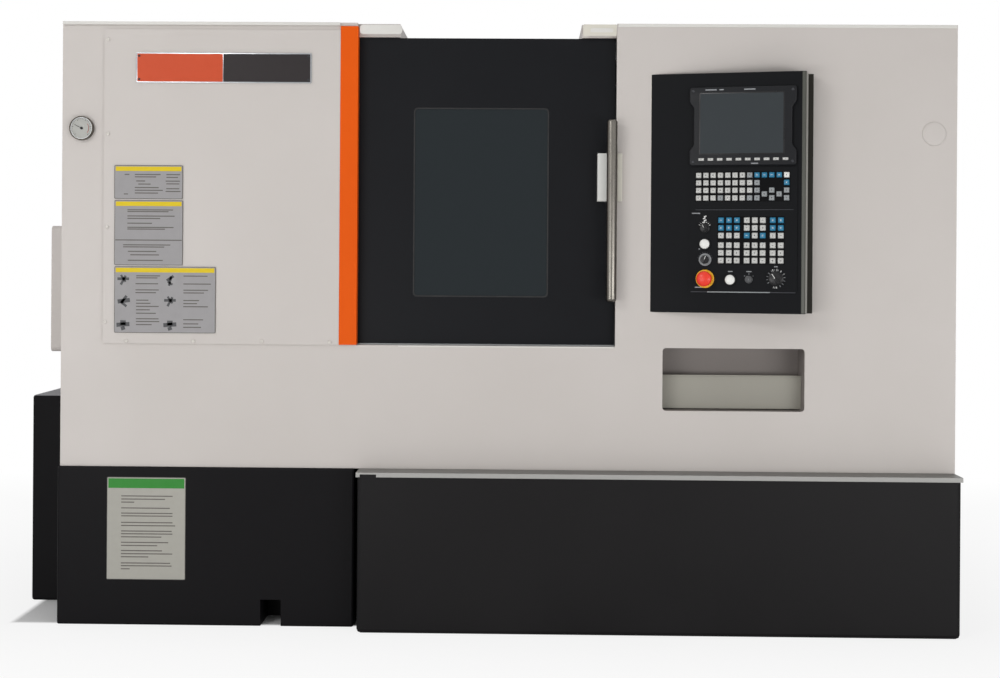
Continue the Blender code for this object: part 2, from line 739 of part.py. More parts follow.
# Base and tank
def make_machine_base():
    left = -BASE_OVERHANG
    split = BASE_LEFT_WIDTH - BASE_OVERHANG
    right = ENCLOSURE_WIDTH - BASE_OVERHANG
    rear = ENCLOSURE_DEPTH - BASE_REAR_INSET
    outline = [(left, -BASE_PROUD), (split, -BASE_PROUD), (split, TANK_BAY_DEPTH),
               (right, TANK_BAY_DEPTH), (right, rear), (left, rear)]
    base = plate("machine_base", [outline], 0, BASE_HEIGHT - GAP, LEVEL, BLACK)
    round_edges(base, BASE_ROUND)
    cut(base, block("base_notch", (NOTCH_LEFT, -BASE_PROUD - OVERRUN, -OVERRUN),
                    (NOTCH_LEFT + NOTCH_WIDTH, NOTCH_DEPTH - BASE_PROUD, NOTCH_HEIGHT)))


def make_coolant_tank():
    right = ENCLOSURE_WIDTH - TANK_SIDE_INSET
    rear = TANK_BAY_DEPTH - TANK_SIDE_INSET
    open_box("coolant_tank", (TANK_LEFT, -TANK_PROUD, 0), (right, rear, TANK_RIM_HEIGHT),
             TANK_WALL, LEVEL, BLACK, TANK_ROUND)


def make_tank_cover():
    reach = GAP + TANK_LID_SHEET
    right = ENCLOSURE_WIDTH - TANK_SIDE_INSET + reach
    rear = TANK_BAY_DEPTH - TANK_SIDE_INSET + reach
    top = TANK_RIM_HEIGHT + reach
    lid = open_box("tank_cover", (TANK_LEFT - reach, -rear, 0), (right, TANK_PROUD + reach, TANK_LID_LIP),
                   TANK_LID_SHEET, at(0, 0, top) @ UPSIDE_DOWN, LID_GREY)
    slot_left = TANK_LEFT + TANK_SLOT_OFFSET
    slot_bottom = top - TANK_LID_LIP
    cut(lid, block("hand_slot", (slot_left, -TANK_PROUD - reach - OVERRUN, slot_bottom - OVERRUN),
                   (slot_left + TANK_SLOT_WIDTH, -TANK_PROUD, slot_bottom + TANK_SLOT_HEIGHT)))


def make_side_cabinet():
    cabinet = block("side_cabinet", (-CABINET_REACH, CABINET_FRONT, 0),
                    (-BASE_OVERHANG - GAP, CABINET_FRONT + CABINET_DEPTH, CABINET_HEIGHT),
                    LEVEL, BLACK, CABINET_ROUND)
    middle = CABINET_FRONT + CABINET_DEPTH / 2
    top = CABINET_HEIGHT - LOUVRE_TOP_INSET
    for row in range(CABINET_LOUVRES):
        low = top - row * LOUVRE_PITCH
        cut(cabinet, block(f"louvre_{row + 1}",
                           (-CABINET_REACH - OVERRUN, middle - LOUVRE_WIDTH / 2, low),
                           (-CABINET_REACH + LOUVRE_DEPTH, middle + LOUVRE_WIDTH / 2, low + LOUVRE_HEIGHT)))


# Enclosure
def make_front_panel():
    outline = [(0, BASE_HEIGHT), (ENCLOSURE_WIDTH, BASE_HEIGHT), (ENCLOSURE_WIDTH, ENCLOSURE_HEIGHT),
               (OPENING_RIGHT, ENCLOSURE_HEIGHT), (OPENING_RIGHT, SILL_HEIGHT),
               (OPENING_LEFT, SILL_HEIGHT), (OPENING_LEFT, ENCLOSURE_HEIGHT), (0, ENCLOSURE_HEIGHT)]
    panel = folded_sheet("front_panel", outline, FOLD, SHEET, FRONT, CREAM)
    cut(panel, block("headstock_access",
                     (COVER_LEFT + COVER_HOLE_INSET, -OVERRUN, SILL_HEIGHT + COVER_HOLE_INSET),
                     (TRIM_LEFT - COVER_HOLE_INSET, SHEET + OVERRUN, COVER_TOP - COVER_HOLE_INSET)))
    cut(panel, rod("gauge_hole", GAUGE_STEM_RADIUS + GAP, -SHEET - OVERRUN, OVERRUN,
                   at(GAUGE_X, 0, GAUGE_Z) @ FRONT))
    cut(panel, rod("plug_hole", PLUG_HUB_RADIUS + GAP, -SHEET - OVERRUN, OVERRUN,
                   at(PLUG_X, 0, PLUG_Z) @ FRONT))
    hole = rounded_rectangle(POCKET_LEFT, POCKET_BOTTOM, POCKET_RIGHT, POCKET_TOP, POCKET_ROUND)
    cut(panel, plate("pocket_hole", [hole], -SHEET - OVERRUN, OVERRUN, FRONT))


def make_headstock_cover():
    outline = rectangle(COVER_LEFT, SILL_HEIGHT, TRIM_LEFT - GAP, COVER_TOP)
    folded_sheet("headstock_cover", outline, COVER_FOLD, COVER_SHEET,
                 at(0, -COVER_FOLD - GAP, 0) @ FRONT, CREAM)


def make_orange_trim():
    inner = OPENING_LEFT + GAP
    right = inner + TRIM_SHEET
    front = -TRIM_PROUD
    outline = [(TRIM_LEFT, front), (right, front), (right, FOLD), (inner, FOLD),
               (inner, front + TRIM_SHEET), (TRIM_LEFT + TRIM_SHEET, front + TRIM_SHEET),
               (TRIM_LEFT + TRIM_SHEET, -GAP), (TRIM_LEFT, -GAP)]
    trim = plate("orange_trim", [outline], SILL_HEIGHT + GAP, TRIM_TOP, LEVEL, ORANGE)
    round_edges(trim, TRIM_SHEET / 3)


def make_side_panels():
    front = FOLD + GAP
    rear = ENCLOSURE_DEPTH - FOLD - GAP
    half = (rear - front) / 2
    outline = rectangle(-half, BASE_HEIGHT, half, ENCLOSURE_HEIGHT)
    left = folded_sheet("left_side_panel", outline, FOLD, SHEET,
                        at(0, front + half, 0) @ LEFT, CREAM)
    cut(left, rod("cylinder_hole", CYLINDER_RADIUS + CYLINDER_HOLE_CLEARANCE, -OVERRUN, SHEET + OVERRUN,
                  SPINDLE_AXIS))
    folded_sheet("right_side_panel", outline, FOLD, SHEET,
                 at(ENCLOSURE_WIDTH, front + half, 0) @ RIGHT, CREAM)


def make_rear_panel():
    half = ENCLOSURE_WIDTH / 2
    folded_sheet("rear_panel", rectangle(-half, BASE_HEIGHT, half, ENCLOSURE_HEIGHT), FOLD, SHEET,
                 at(half, ENCLOSURE_DEPTH, 0) @ BACK, CREAM)


def make_roof():
    low = FOLD + GAP
    right = ENCLOSURE_WIDTH - low
    rear = ENCLOSURE_DEPTH - low
    seam = ROOF_NOTCH_RIGHT - GAP
    left_outline = [(low, low), (ROOF_NOTCH_LEFT, low), (ROOF_NOTCH_LEFT, ROOF_NOTCH_DEPTH),
                    (seam, ROOF_NOTCH_DEPTH), (seam, rear), (low, rear)]
    top = at(0, 0, ENCLOSURE_HEIGHT)
    folded_sheet("roof_left", left_outline, ROOF_HEIGHT, SHEET, top, CREAM)
    folded_sheet("roof_right", rectangle(ROOF_NOTCH_RIGHT, low, right, rear), ROOF_HEIGHT, SHEET,
                 top, CREAM)


def make_cylinder_cover():
    half = CYLINDER_COVER_SIZE / 2
    outline = rounded_rectangle(-half, -half, half, half, CYLINDER_COVER_ROUND)
    folded_sheet("cylinder_cover", outline, CYLINDER_COVER_REACH - GAP, SHEET,
                 at(-CYLINDER_COVER_REACH, SPINDLE_Y, SPINDLE_Z) @ LEFT, CREAM)


def make_document_pocket():
    half_width = (POCKET_RIGHT - POCKET_LEFT) / 2 + POCKET_SHEET
    half_height = (POCKET_TOP - POCKET_BOTTOM) / 2 + POCKET_SHEET
    outline = rounded_rectangle(-half_width, -half_height, half_width, half_height,
                                POCKET_ROUND + POCKET_SHEET)
    middle_x = (POCKET_LEFT + POCKET_RIGHT) / 2
    middle_z = (POCKET_BOTTOM + POCKET_TOP) / 2
    back = SHEET + GAP + POCKET_DEPTH
    folded_sheet("document_pocket", outline, POCKET_DEPTH, POCKET_SHEET,
                 at(middle_x, back, middle_z) @ BACK, CREAM)


def make_pressure_gauge():
    rim = GAUGE_RADIUS - GAUGE_RIM
    glass = GAUGE_DEPTH - GAUGE_RIM
    profile = [(0, glass), (rim, glass), (rim, GAUGE_DEPTH), (GAUGE_RADIUS - EDGE, GAUGE_DEPTH),
               (GAUGE_RADIUS, GAUGE_DEPTH - EDGE), (GAUGE_RADIUS, GAP), (GAUGE_STEM_RADIUS, GAP),
               (GAUGE_STEM_RADIUS, -GAUGE_STEM_LENGTH), (0, -GAUGE_STEM_LENGTH)]
    turned("pressure_gauge", profile, at(GAUGE_X, 0, GAUGE_Z) @ FRONT, CHROME)


def make_hole_plug():
    profile = [(0, PLUG_DOME), (PLUG_RADIUS - PLUG_DOME, PLUG_DOME), (PLUG_RADIUS, GAP * 2),
               (PLUG_RADIUS, GAP), (PLUG_HUB_RADIUS, GAP), (PLUG_HUB_RADIUS, -PLUG_HUB_LENGTH),
               (0, -PLUG_HUB_LENGTH)]
    turned("hole_plug", profile, at(PLUG_X, 0, PLUG_Z) @ FRONT, CREAM)


def make_electrical_cabinet():
    front = ENCLOSURE_DEPTH + GAP
    back = front + REAR_CABINET_DEPTH
    cabinet = block("electrical_cabinet", (REAR_CABINET_LEFT, front, REAR_CABINET_BOTTOM),
                    (REAR_CABINET_RIGHT, back, REAR_CABINET_TOP), LEVEL, CREAM, EDGE * 2)
    middle = (REAR_CABINET_LEFT + REAR_CABINET_RIGHT) / 2
    sides = ((REAR_CABINET_LEFT + REAR_DOOR_MARGIN, middle - REAR_DOOR_MARGIN / 2),
             (middle + REAR_DOOR_MARGIN / 2, REAR_CABINET_RIGHT - REAR_DOOR_MARGIN))
    for number, (left, right) in enumerate(sides, 1):
        join(cabinet, block(f"cabinet_lid_{number}",
                            (left, back - REAR_DOOR_THICKNESS, REAR_CABINET_BOTTOM + REAR_DOOR_MARGIN),
                            (right, back + REAR_DOOR_THICKNESS, REAR_CABINET_TOP - REAR_DOOR_MARGIN)))
    cut(cabinet, rod("switch_hole", clear_bore(MAIN_SWITCH_STEM_RADIUS), -MAIN_SWITCH_STEM_LENGTH - GAP,
                     OVERRUN, MAIN_SWITCH_AXIS))


def make_main_switch():
    profile = [(0, MAIN_SWITCH_BASE), (MAIN_SWITCH_RADIUS - EDGE, MAIN_SWITCH_BASE),
               (MAIN_SWITCH_RADIUS, MAIN_SWITCH_BASE - EDGE), (MAIN_SWITCH_RADIUS, GAP),
               (MAIN_SWITCH_STEM_RADIUS, GAP), (MAIN_SWITCH_STEM_RADIUS, -MAIN_SWITCH_STEM_LENGTH),
               (0, -MAIN_SWITCH_STEM_LENGTH)]
    switch = turned("main_switch", profile, MAIN_SWITCH_AXIS, RED)
    half = MAIN_SWITCH_RADIUS * GRIP_WIDTH_SHARE
    length = MAIN_SWITCH_RADIUS - EDGE
    join(switch, block("switch_grip", (-half, -length, MAIN_SWITCH_BASE / 2),
                       (half, length, MAIN_SWITCH_GRIP), MAIN_SWITCH_AXIS))


# Door
def make_door_rails():
    top = ENCLOSURE_HEIGHT - ROOF_HEIGHT - GAP
    lip_front = DOOR_BACK + RAIL_OFFSET
    lip_back = lip_front + RAIL_SHEET
    web_front = lip_back + RAIL_CHANNEL
    web_back = web_front + RAIL_SHEET
    low = top - RAIL_DROP
    floor = low + RAIL_SHEET
    lip_top = low + RAIL_LIP
    hook = [(lip_front, low), (web_back, low), (web_back, top), (web_front, top), (web_front, floor),
            (lip_back, floor), (lip_back, lip_top), (lip_front, lip_top)]
    plate("upper_door_rail", [hook], RAIL_LEFT, RAIL_RIGHT, ALONG, STAINLESS)
    front_wall = GUIDE_Y - GUIDE_THICKNESS / 2 - GUIDE_CLEARANCE - RAIL_SHEET
    back_wall = GUIDE_Y + GUIDE_THICKNESS / 2 + GUIDE_CLEARANCE
    rim = DOOR_BOTTOM - GUIDE_CLEARANCE
    bottom = rim - LOWER_RAIL_DEPTH
    deck = bottom + RAIL_SHEET
    channel = [(SHEET + GAP, bottom), (back_wall + RAIL_SHEET, bottom), (back_wall + RAIL_SHEET, rim),
               (back_wall, rim), (back_wall, deck), (front_wall + RAIL_SHEET, deck),
               (front_wall + RAIL_SHEET, rim), (front_wall, rim), (front_wall, deck),
               (SHEET + GAP, deck)]
    plate("lower_door_rail", [channel], RAIL_LEFT, RAIL_RIGHT, ALONG, STAINLESS)


def make_door_panel():
    right = OPENING_RIGHT - DOOR_SIDE_GAP
    left = OPENING_LEFT - DOOR_LAP
    door = folded_sheet("door_panel", rectangle(left, DOOR_BOTTOM, right, DOOR_TOP), DOOR_FOLD, DOOR_SHEET,
                        at(0, DOOR_FRONT, 0) @ FRONT, DOOR_BLACK)
    hole = rounded_rectangle(WINDOW_LEFT, WINDOW_BOTTOM, WINDOW_RIGHT, WINDOW_TOP, WINDOW_ROUND)
    cut(door, plate("window_hole", [hole], -DOOR_SHEET - OVERRUN, OVERRUN,
                    at(0, DOOR_FRONT, 0) @ FRONT))
    rail_low = ENCLOSURE_HEIGHT - ROOF_HEIGHT - GAP - RAIL_DROP
    runner_front = DOOR_BACK + RAIL_OFFSET + RAIL_SHEET + RUNNER_CLEARANCE
    runner_back = DOOR_BACK + RAIL_OFFSET + RAIL_SHEET + RAIL_CHANNEL - RUNNER_CLEARANCE
    arm_front = DOOR_BACK - HANGER_LAP
    arm_low = rail_low + RAIL_LIP + RUNNER_CLEARANCE
    arm_top = DOOR_TOP - DOOR_SHEET / 2
    hanger = [(arm_front, arm_low), (runner_front, arm_low), (runner_front, rail_low + RAIL_SHEET + GAP),
              (runner_back, rail_low + RAIL_SHEET + GAP), (runner_back, arm_top), (arm_front, arm_top)]
    guide_floor = DOOR_BOTTOM - GUIDE_CLEARANCE - LOWER_RAIL_DEPTH + RAIL_SHEET + GAP
    for number, start in enumerate((left + HANGER_INSET, right - HANGER_INSET - HANGER_WIDTH), 1):
        join(door, plate(f"hanger_{number}", [hanger], start, start + HANGER_WIDTH, ALONG))
        join(door, block(f"guide_{number}", (start, GUIDE_Y - GUIDE_THICKNESS / 2, guide_floor),
                         (start + HANGER_WIDTH, GUIDE_Y + GUIDE_THICKNESS / 2,
                          DOOR_BOTTOM + DOOR_SHEET / 2)))


def make_door_window():
    outline = rounded_rectangle(WINDOW_LEFT - WINDOW_LAP, WINDOW_BOTTOM - WINDOW_LAP,
                                WINDOW_RIGHT + WINDOW_LAP, WINDOW_TOP + WINDOW_LAP, WINDOW_ROUND)
    plate("door_window", [outline], -WINDOW_THICKNESS, 0,
          at(0, DOOR_FRONT + DOOR_SHEET + GAP, 0) @ FRONT, GLASS)


def make_door_handle():
    axis_y = DOOR_FRONT - HANDLE_STANDOFF
    height = HANDLE_TOP - HANDLE_BOTTOM
    profile = [(0, height), (HANDLE_RADIUS - EDGE, height), (HANDLE_RADIUS, height - EDGE),
               (HANDLE_RADIUS, EDGE), (HANDLE_RADIUS - EDGE, 0), (0, 0)]
    bar = turned("door_handle", profile, at(HANDLE_X, axis_y, HANDLE_BOTTOM), CHROME)
    seat = HANDLE_STANDOFF - GAP
    post = [(0, seat), (HANDLE_FOOT_RADIUS, seat), (HANDLE_FOOT_RADIUS, seat - HANDLE_FOOT_HEIGHT),
            (HANDLE_POST_RADIUS, seat - HANDLE_FOOT_HEIGHT), (HANDLE_POST_RADIUS, 0), (0, 0)]
    for number, height in enumerate((HANDLE_BOTTOM + HANDLE_POST_INSET, HANDLE_TOP - HANDLE_POST_INSET), 1):
        join(bar, turned(f"handle_post_{number}", post, at(HANDLE_X, axis_y, height) @ BACK, steps=HOLE_STEPS))


def make_door_latch():
    right = OPENING_RIGHT - DOOR_SIDE_GAP - LATCH_INSET
    latch = block("door_latch", (LATCH_LEFT, LATCH_FRONT, LATCH_BOTTOM),
                  (right, DOOR_FRONT - GAP, LATCH_BOTTOM + LATCH_HEIGHT), LEVEL, WHITE, EDGE)
    join(latch, block("latch_tongue", (right - TONGUE_LENGTH, TONGUE_FRONT, TONGUE_Z - TONGUE_HEIGHT / 2),
                      (right + TONGUE_LENGTH, TONGUE_FRONT + TONGUE_THICKNESS,
                       TONGUE_Z + TONGUE_HEIGHT / 2)))


def make_interlock_switch():
    left = OPENING_RIGHT + LATCH_INSET * 2
    switch = block("interlock_switch", (left, -INTERLOCK_THICKNESS, LATCH_BOTTOM),
                   (left + INTERLOCK_WIDTH, -GAP, LATCH_BOTTOM + LATCH_HEIGHT), LEVEL, WHITE, EDGE)
    cut(switch, block("tongue_slot",
                      (left - OVERRUN, TONGUE_FRONT - TONGUE_CLEARANCE,
                       TONGUE_Z - TONGUE_HEIGHT / 2 - TONGUE_CLEARANCE),
                      (TONGUE_TIP + TONGUE_CLEARANCE, TONGUE_FRONT + TONGUE_THICKNESS + TONGUE_CLEARANCE,
                       TONGUE_Z + TONGUE_HEIGHT / 2 + TONGUE_CLEARANCE)))


# Bed and spindle line
def make_slant_bed():
    surface = -BED_DROP - WAY_HEIGHT
    top = []
    for low, high in reversed(WAYS):
        top += [slant_point(high, surface), slant_point(high, -BED_DROP),
                slant_point(low, -BED_DROP), slant_point(low, surface)]
    rear_y, rear_z = slant_point(BED_HIGH, surface - BED_REAR_WEB)
    outline = [(BED_TOE_Y, BASE_HEIGHT), (rear_y, BASE_HEIGHT), (rear_y, rear_z),
               slant_point(BED_HIGH, surface), *top, slant_point(BED_LOW, surface)]
    plate("slant_bed", [outline], BED_LEFT, BED_RIGHT, ALONG, CASTING)


def barrel_outline(half_low, half_high, shoulder, radius):
    """A foot on the slide plane that grows into a round barrel about the axis."""
    start = -atan2(shoulder, (radius ** 2 - shoulder ** 2) ** 0.5)
    foot = -BED_DROP + GAP
    return [(half_low, foot), (half_high, foot), (half_high, -shoulder),
            *arc(0, 0, radius, start, pi - start, ARC_STEPS * 3), (half_low, -shoulder)]


def make_headstock():
    outline = barrel_outline(-HEADSTOCK_HALF, HEADSTOCK_HALF, HEADSTOCK_SHOULDER, HEADSTOCK_BARREL)
    headstock = plate("headstock", [outline], HEADSTOCK_LEFT, HEADSTOCK_RIGHT, ALONG_SLANT, CASTING)
    pitch = (HEADSTOCK_RIGHT - HEADSTOCK_LEFT) / (HEADSTOCK_RINGS + 1)
    for ring in range(HEADSTOCK_RINGS):
        middle = HEADSTOCK_LEFT + pitch * (ring + 1)
        join(headstock, rod(f"headstock_ring_{ring + 1}", HEADSTOCK_BARREL + HEADSTOCK_RING,
                            middle - HEADSTOCK_RING, middle + HEADSTOCK_RING, SPINDLE_AXIS))
    cut(headstock, rod("headstock_bore", clear_bore(SPINDLE_RADIUS), HEADSTOCK_LEFT - OVERRUN,
                       HEADSTOCK_RIGHT + OVERRUN, SPINDLE_AXIS))


def make_spindle():
    profile = [(NOSE_RADIUS, NOSE_FRONT), (NOSE_RADIUS, NOSE_BACK), (SPINDLE_RADIUS, NOSE_BACK),
               (SPINDLE_RADIUS, SPINDLE_REAR), (SPINDLE_BORE, SPINDLE_REAR), (SPINDLE_BORE, NOSE_FRONT)]
    turned("spindle", profile, SPINDLE_AXIS, STEEL, closed=True)


def pulley_profile(radius, bore):
    """Two flanges with the belt's seat between them, over a bore."""
    right = PULLEY_LEFT + PULLEY_WIDTH
    rim = radius + PULLEY_FLANGE_HEIGHT
    seat_right = right - PULLEY_FLANGE
    seat_left = PULLEY_LEFT + PULLEY_FLANGE
    return [(bore, right), (rim, right), (rim, seat_right), (radius, seat_right), (radius, seat_left),
            (rim, seat_left), (rim, PULLEY_LEFT), (bore, PULLEY_LEFT)]


def make_pulleys():
    turned("spindle_pulley", pulley_profile(SPINDLE_PULLEY_RADIUS, SPINDLE_RADIUS + GAP), SPINDLE_AXIS,
           DARK_STEEL, closed=True)
    pulley = turned("motor_pulley", pulley_profile(MOTOR_PULLEY_RADIUS, MOTOR_SHAFT_RADIUS / 2),
                    MOTOR_AXIS, DARK_STEEL, closed=True)
    join(pulley, rod("motor_shaft", MOTOR_SHAFT_RADIUS, MOTOR_SHAFT_END, MOTOR_LEFT + MOTOR_SHAFT_SEAT,
                     MOTOR_AXIS))


def belt_loop(offset):
    """The path round both pulleys, offset from their seats."""
    wide = SPINDLE_PULLEY_RADIUS + offset
    narrow = MOTOR_PULLEY_RADIUS + offset
    distance = ((SPINDLE_Y - MOTOR_Y) ** 2 + (SPINDLE_Z - MOTOR_Z) ** 2) ** 0.5
    facing = atan2(MOTOR_Z - SPINDLE_Z, MOTOR_Y - SPINDLE_Y)
    lean = acos((wide - narrow) / distance)
    return (arc(SPINDLE_Y, SPINDLE_Z, wide, facing + lean, facing - lean + tau, ARC_STEPS * 4)
            + arc(MOTOR_Y, MOTOR_Z, narrow, facing - lean, facing + lean, ARC_STEPS * 3))


def make_drive_belt():
    start = PULLEY_LEFT + PULLEY_FLANGE + GAP
    end = PULLEY_LEFT + PULLEY_WIDTH - PULLEY_FLANGE - GAP
    inner = belt_loop(GAP * 2)
    outer = belt_loop(GAP * 2 + BELT_THICKNESS)
    plate("drive_belt", [outer, inner], start, end, ALONG, RUBBER)


def make_spindle_motor():
    fin = MOTOR_LENGTH / (MOTOR_FINS * 2 + 1)
    right = MOTOR_LEFT + MOTOR_LENGTH
    root = MOTOR_RADIUS - MOTOR_FIN_DEPTH
    profile = [(0, right), (MOTOR_RADIUS, right)]
    for number in range(MOTOR_FINS):
        step = right - fin * (2 * number + 1)
        profile += [(MOTOR_RADIUS, step), (root, step), (root, step - fin), (MOTOR_RADIUS, step - fin)]
    profile += [(MOTOR_RADIUS, MOTOR_LEFT), (0, MOTOR_LEFT)]
    motor = turned("spindle_motor", profile, MOTOR_AXIS, DARK_STEEL)
    join(motor, block("motor_foot",
                      (MOTOR_LEFT + MOTOR_FOOT_INSET, MOTOR_Y - MOTOR_FOOT_WIDTH / 2, BASE_HEIGHT),
                      (right - MOTOR_FOOT_INSET, MOTOR_Y + MOTOR_FOOT_WIDTH / 2, MOTOR_Z - root / 2)))
    cut(motor, rod("shaft_bore", clear_bore(MOTOR_SHAFT_RADIUS), MOTOR_LEFT - OVERRUN,
                   MOTOR_LEFT + MOTOR_SHAFT_SEAT + GAP, MOTOR_AXIS))


def jaw_frame(number):
    """Local X outward from the axis, local Y along the spindle."""
    turn = Matrix.Rotation(tau * number / JAW_COUNT + pi / 2, 4, "X")
    flip = Matrix(((0, 1, 0, 0), (1, 0, 0, 0), (0, 0, -1, 0), (0, 0, 0, 1)))
    return SPINDLE_LINE @ turn @ flip


def make_chuck():
    front = CHUCK_BACK + CHUCK_THICKNESS
    waist = CHUCK_BACK + CHUCK_THICKNESS / 2
    profile = [(CHUCK_RADIUS - CHUCK_CHAMFER, front), (CHUCK_RADIUS, front - CHUCK_CHAMFER),
               (CHUCK_RADIUS, waist + CHUCK_WAIST_WIDTH / 2),
               (CHUCK_RADIUS - CHUCK_WAIST_DEPTH, waist + CHUCK_WAIST_WIDTH / 2),
               (CHUCK_RADIUS - CHUCK_WAIST_DEPTH, waist - CHUCK_WAIST_WIDTH / 2),
               (CHUCK_RADIUS, waist - CHUCK_WAIST_WIDTH / 2), (CHUCK_RADIUS, CHUCK_BACK),
               (SPINDLE_BORE, CHUCK_BACK), (SPINDLE_BORE, front)]
    chuck = turned("chuck_body", profile, SPINDLE_AXIS, STEEL, steps=CHUCK_STEPS, closed=True)
    floor = front - JAW_SLOT_DEPTH
    seat = floor + GAP
    half = JAW_WIDTH / 2
    step_one = JAW_INNER + JAW_STEP
    step_two = step_one + JAW_STEP
    rise = JAW_HEIGHT / JAW_COUNT
    outline = [(JAW_INNER, seat), (JAW_OUTER, seat), (JAW_OUTER, front + rise), (step_two, front + rise),
               (step_two, front + rise * 2), (step_one, front + rise * 2), (step_one, front + JAW_HEIGHT),
               (JAW_INNER, front + JAW_HEIGHT)]
    for number in range(JAW_COUNT):
        frame = jaw_frame(number)
        cut(chuck, block(f"jaw_slot_{number + 1}", (0, floor, -half - GAP),
                         (CHUCK_RADIUS + OVERRUN, front + OVERRUN, half + GAP), frame))
        plate(f"chuck_jaw_{number + 1}", [outline], -half, half, frame, STEEL)


def make_chuck_cylinder():
    shoulder = SPINDLE_REAR - GAP - CYLINDER_NECK_LENGTH
    end = shoulder - CYLINDER_LENGTH
    profile = [(CYLINDER_NECK_RADIUS, SPINDLE_REAR - GAP), (CYLINDER_NECK_RADIUS, shoulder),
               (CYLINDER_RADIUS, shoulder), (CYLINDER_RADIUS, end + CHUCK_CHAMFER),
               (CYLINDER_RADIUS - CHUCK_CHAMFER, end), (SPINDLE_BORE, end),
               (SPINDLE_BORE, SPINDLE_REAR - GAP)]
    turned("chuck_cylinder", profile, SPINDLE_AXIS, CASTING, closed=True)


# Carriage, cross slide and turret
def make_z_carriage():
    seat = -BED_DROP + GAP
    top = CARRIAGE_TOP
    lip = -BED_DROP - WAY_HEIGHT + GIB_WIDTH / 3
    near = WAYS[0][0] - GAP
    far = WAYS[-1][1] + GAP
    relief = seat + CARRIAGE_RELIEF
    overhang = relief + CARRIAGE_RELIEF
    outline = [(near - GIB_WIDTH, lip), (near, lip), (near, seat), (WAYS[0][1], seat),
               (WAYS[0][1], relief), (WAYS[-1][0], relief), (WAYS[-1][0], seat), (far, seat),
               (far, lip), (far + GIB_WIDTH, lip), (far + GIB_WIDTH, overhang), (CARRIAGE_HIGH, overhang),
               (CARRIAGE_HIGH, top), (near - GIB_WIDTH, top)]
    carriage = plate("z_carriage", [outline], CARRIAGE_LEFT, CARRIAGE_LEFT + CARRIAGE_WIDTH, ALONG_SLANT,
                     CASTING)
    middle = CARRIAGE_LEFT + CARRIAGE_WIDTH / 2
    half = CROSS_GUIDE_WIDTH / 2
    join(carriage, block("cross_guide", (middle - half, near, top - OVERRUN),
                         (middle + half, CARRIAGE_HIGH - OVERRUN / 2, top + CROSS_GUIDE_HEIGHT), SLANTED))
    half = X_MOTOR_SIZE / 2
    join(carriage, block("cross_motor", (middle - half, CARRIAGE_HIGH - OVERRUN, top - half),
                         (middle + half, CARRIAGE_HIGH + X_MOTOR_LENGTH, top + half), SLANTED))


def make_cross_slide():
    low = CARRIAGE_TOP + GAP
    left = CARRIAGE_LEFT + CROSS_INSET
    slide = block("cross_slide", (left, CROSS_LOW, low),
                  (left + CROSS_WIDTH, CROSS_LOW + CROSS_LENGTH, low + CROSS_THICKNESS), SLANTED, CASTING)
    middle = CARRIAGE_LEFT + CARRIAGE_WIDTH / 2
    half = CROSS_GUIDE_WIDTH / 2 + GAP
    cut(slide, block("guide_channel", (middle - half, CROSS_LOW - OVERRUN, low - OVERRUN),
                     (middle + half, CROSS_LOW + CROSS_LENGTH + OVERRUN,
                      CARRIAGE_TOP + CROSS_GUIDE_HEIGHT + GAP), SLANTED))


def make_turret_housing():
    low = CARRIAGE_TOP + GAP + CROSS_THICKNESS + GAP
    back = DISC_LEFT + DISC_THICKNESS
    left = back + TURRET_NECK_LENGTH
    housing = block("turret_housing", (left, TURRET_AXIS - TURRET_BODY_HALF, low),
                    (left + TURRET_BODY_LENGTH, TURRET_AXIS + TURRET_BODY_HALF, TURRET_BODY_HALF),
                    SLANTED, CASTING, TURRET_ROUND)
    join(housing, rod("turret_neck", TURRET_NECK_RADIUS, back + GAP, left + OVERRUN + TURRET_ROUND,
                      TURRET_LINE))


def station_frame(number):
    """Local X outward through a station, local Z along the turret's axis."""
    return TURRET_LINE @ Matrix.Rotation(pi + tau * number / STATIONS, 4, "Z")


def make_turret_disc():
    right = DISC_LEFT + DISC_THICKNESS
    corner = DISC_RADIUS / cos(pi / STATIONS)

    def polygon(work):
        turn = Matrix.Rotation(pi / STATIONS, 4, "Z")
        bmesh.ops.create_cone(work, cap_ends=True, segments=STATIONS, radius1=corner, radius2=corner,
                              depth=DISC_THICKNESS, matrix=at(0, 0, (DISC_LEFT + right) / 2) @ turn)
    disc = add("turret_disc", mesh_from("turret_disc", polygon), TURRET_LINE, STEEL)
    round_edges(disc, DISC_CHAMFER, 1, radians(60))
    join(disc, rod("turret_hub", HUB_RADIUS, DISC_LEFT - HUB_HEIGHT, DISC_LEFT + OVERRUN, TURRET_LINE))
    top = DISC_RADIUS + TOOL_BLOCK_HEIGHT
    half = TOOL_BLOCK_WIDTH / 2
    shank = TOOL_SHANK / 2
    near = DISC_LEFT + DISC_CHAMFER * 2
    far = right - DISC_CHAMFER * 2
    overlap = DISC_CHAMFER / 2
    for number in range(STATIONS):
        frame = station_frame(number)
        name = f"station_{number + 1}"
        join(disc, block(name + "_block", (DISC_RADIUS - overlap, -half, near), (top, half, far), frame))
        if number % 2 == 0:
            join(disc, block(name + "_tool", (DISC_RADIUS, -shank, near + overlap),
                             (top + TOOL_REACH, shank, near + overlap + TOOL_SHANK), frame))
        else:
            join(disc, rod(name + "_bar", BORING_RADIUS, DISC_LEFT - BORING_REACH, near + OVERRUN,
                           frame @ at(DISC_RADIUS + TOOL_BLOCK_HEIGHT / 2, 0, 0), sides=HOLE_STEPS))


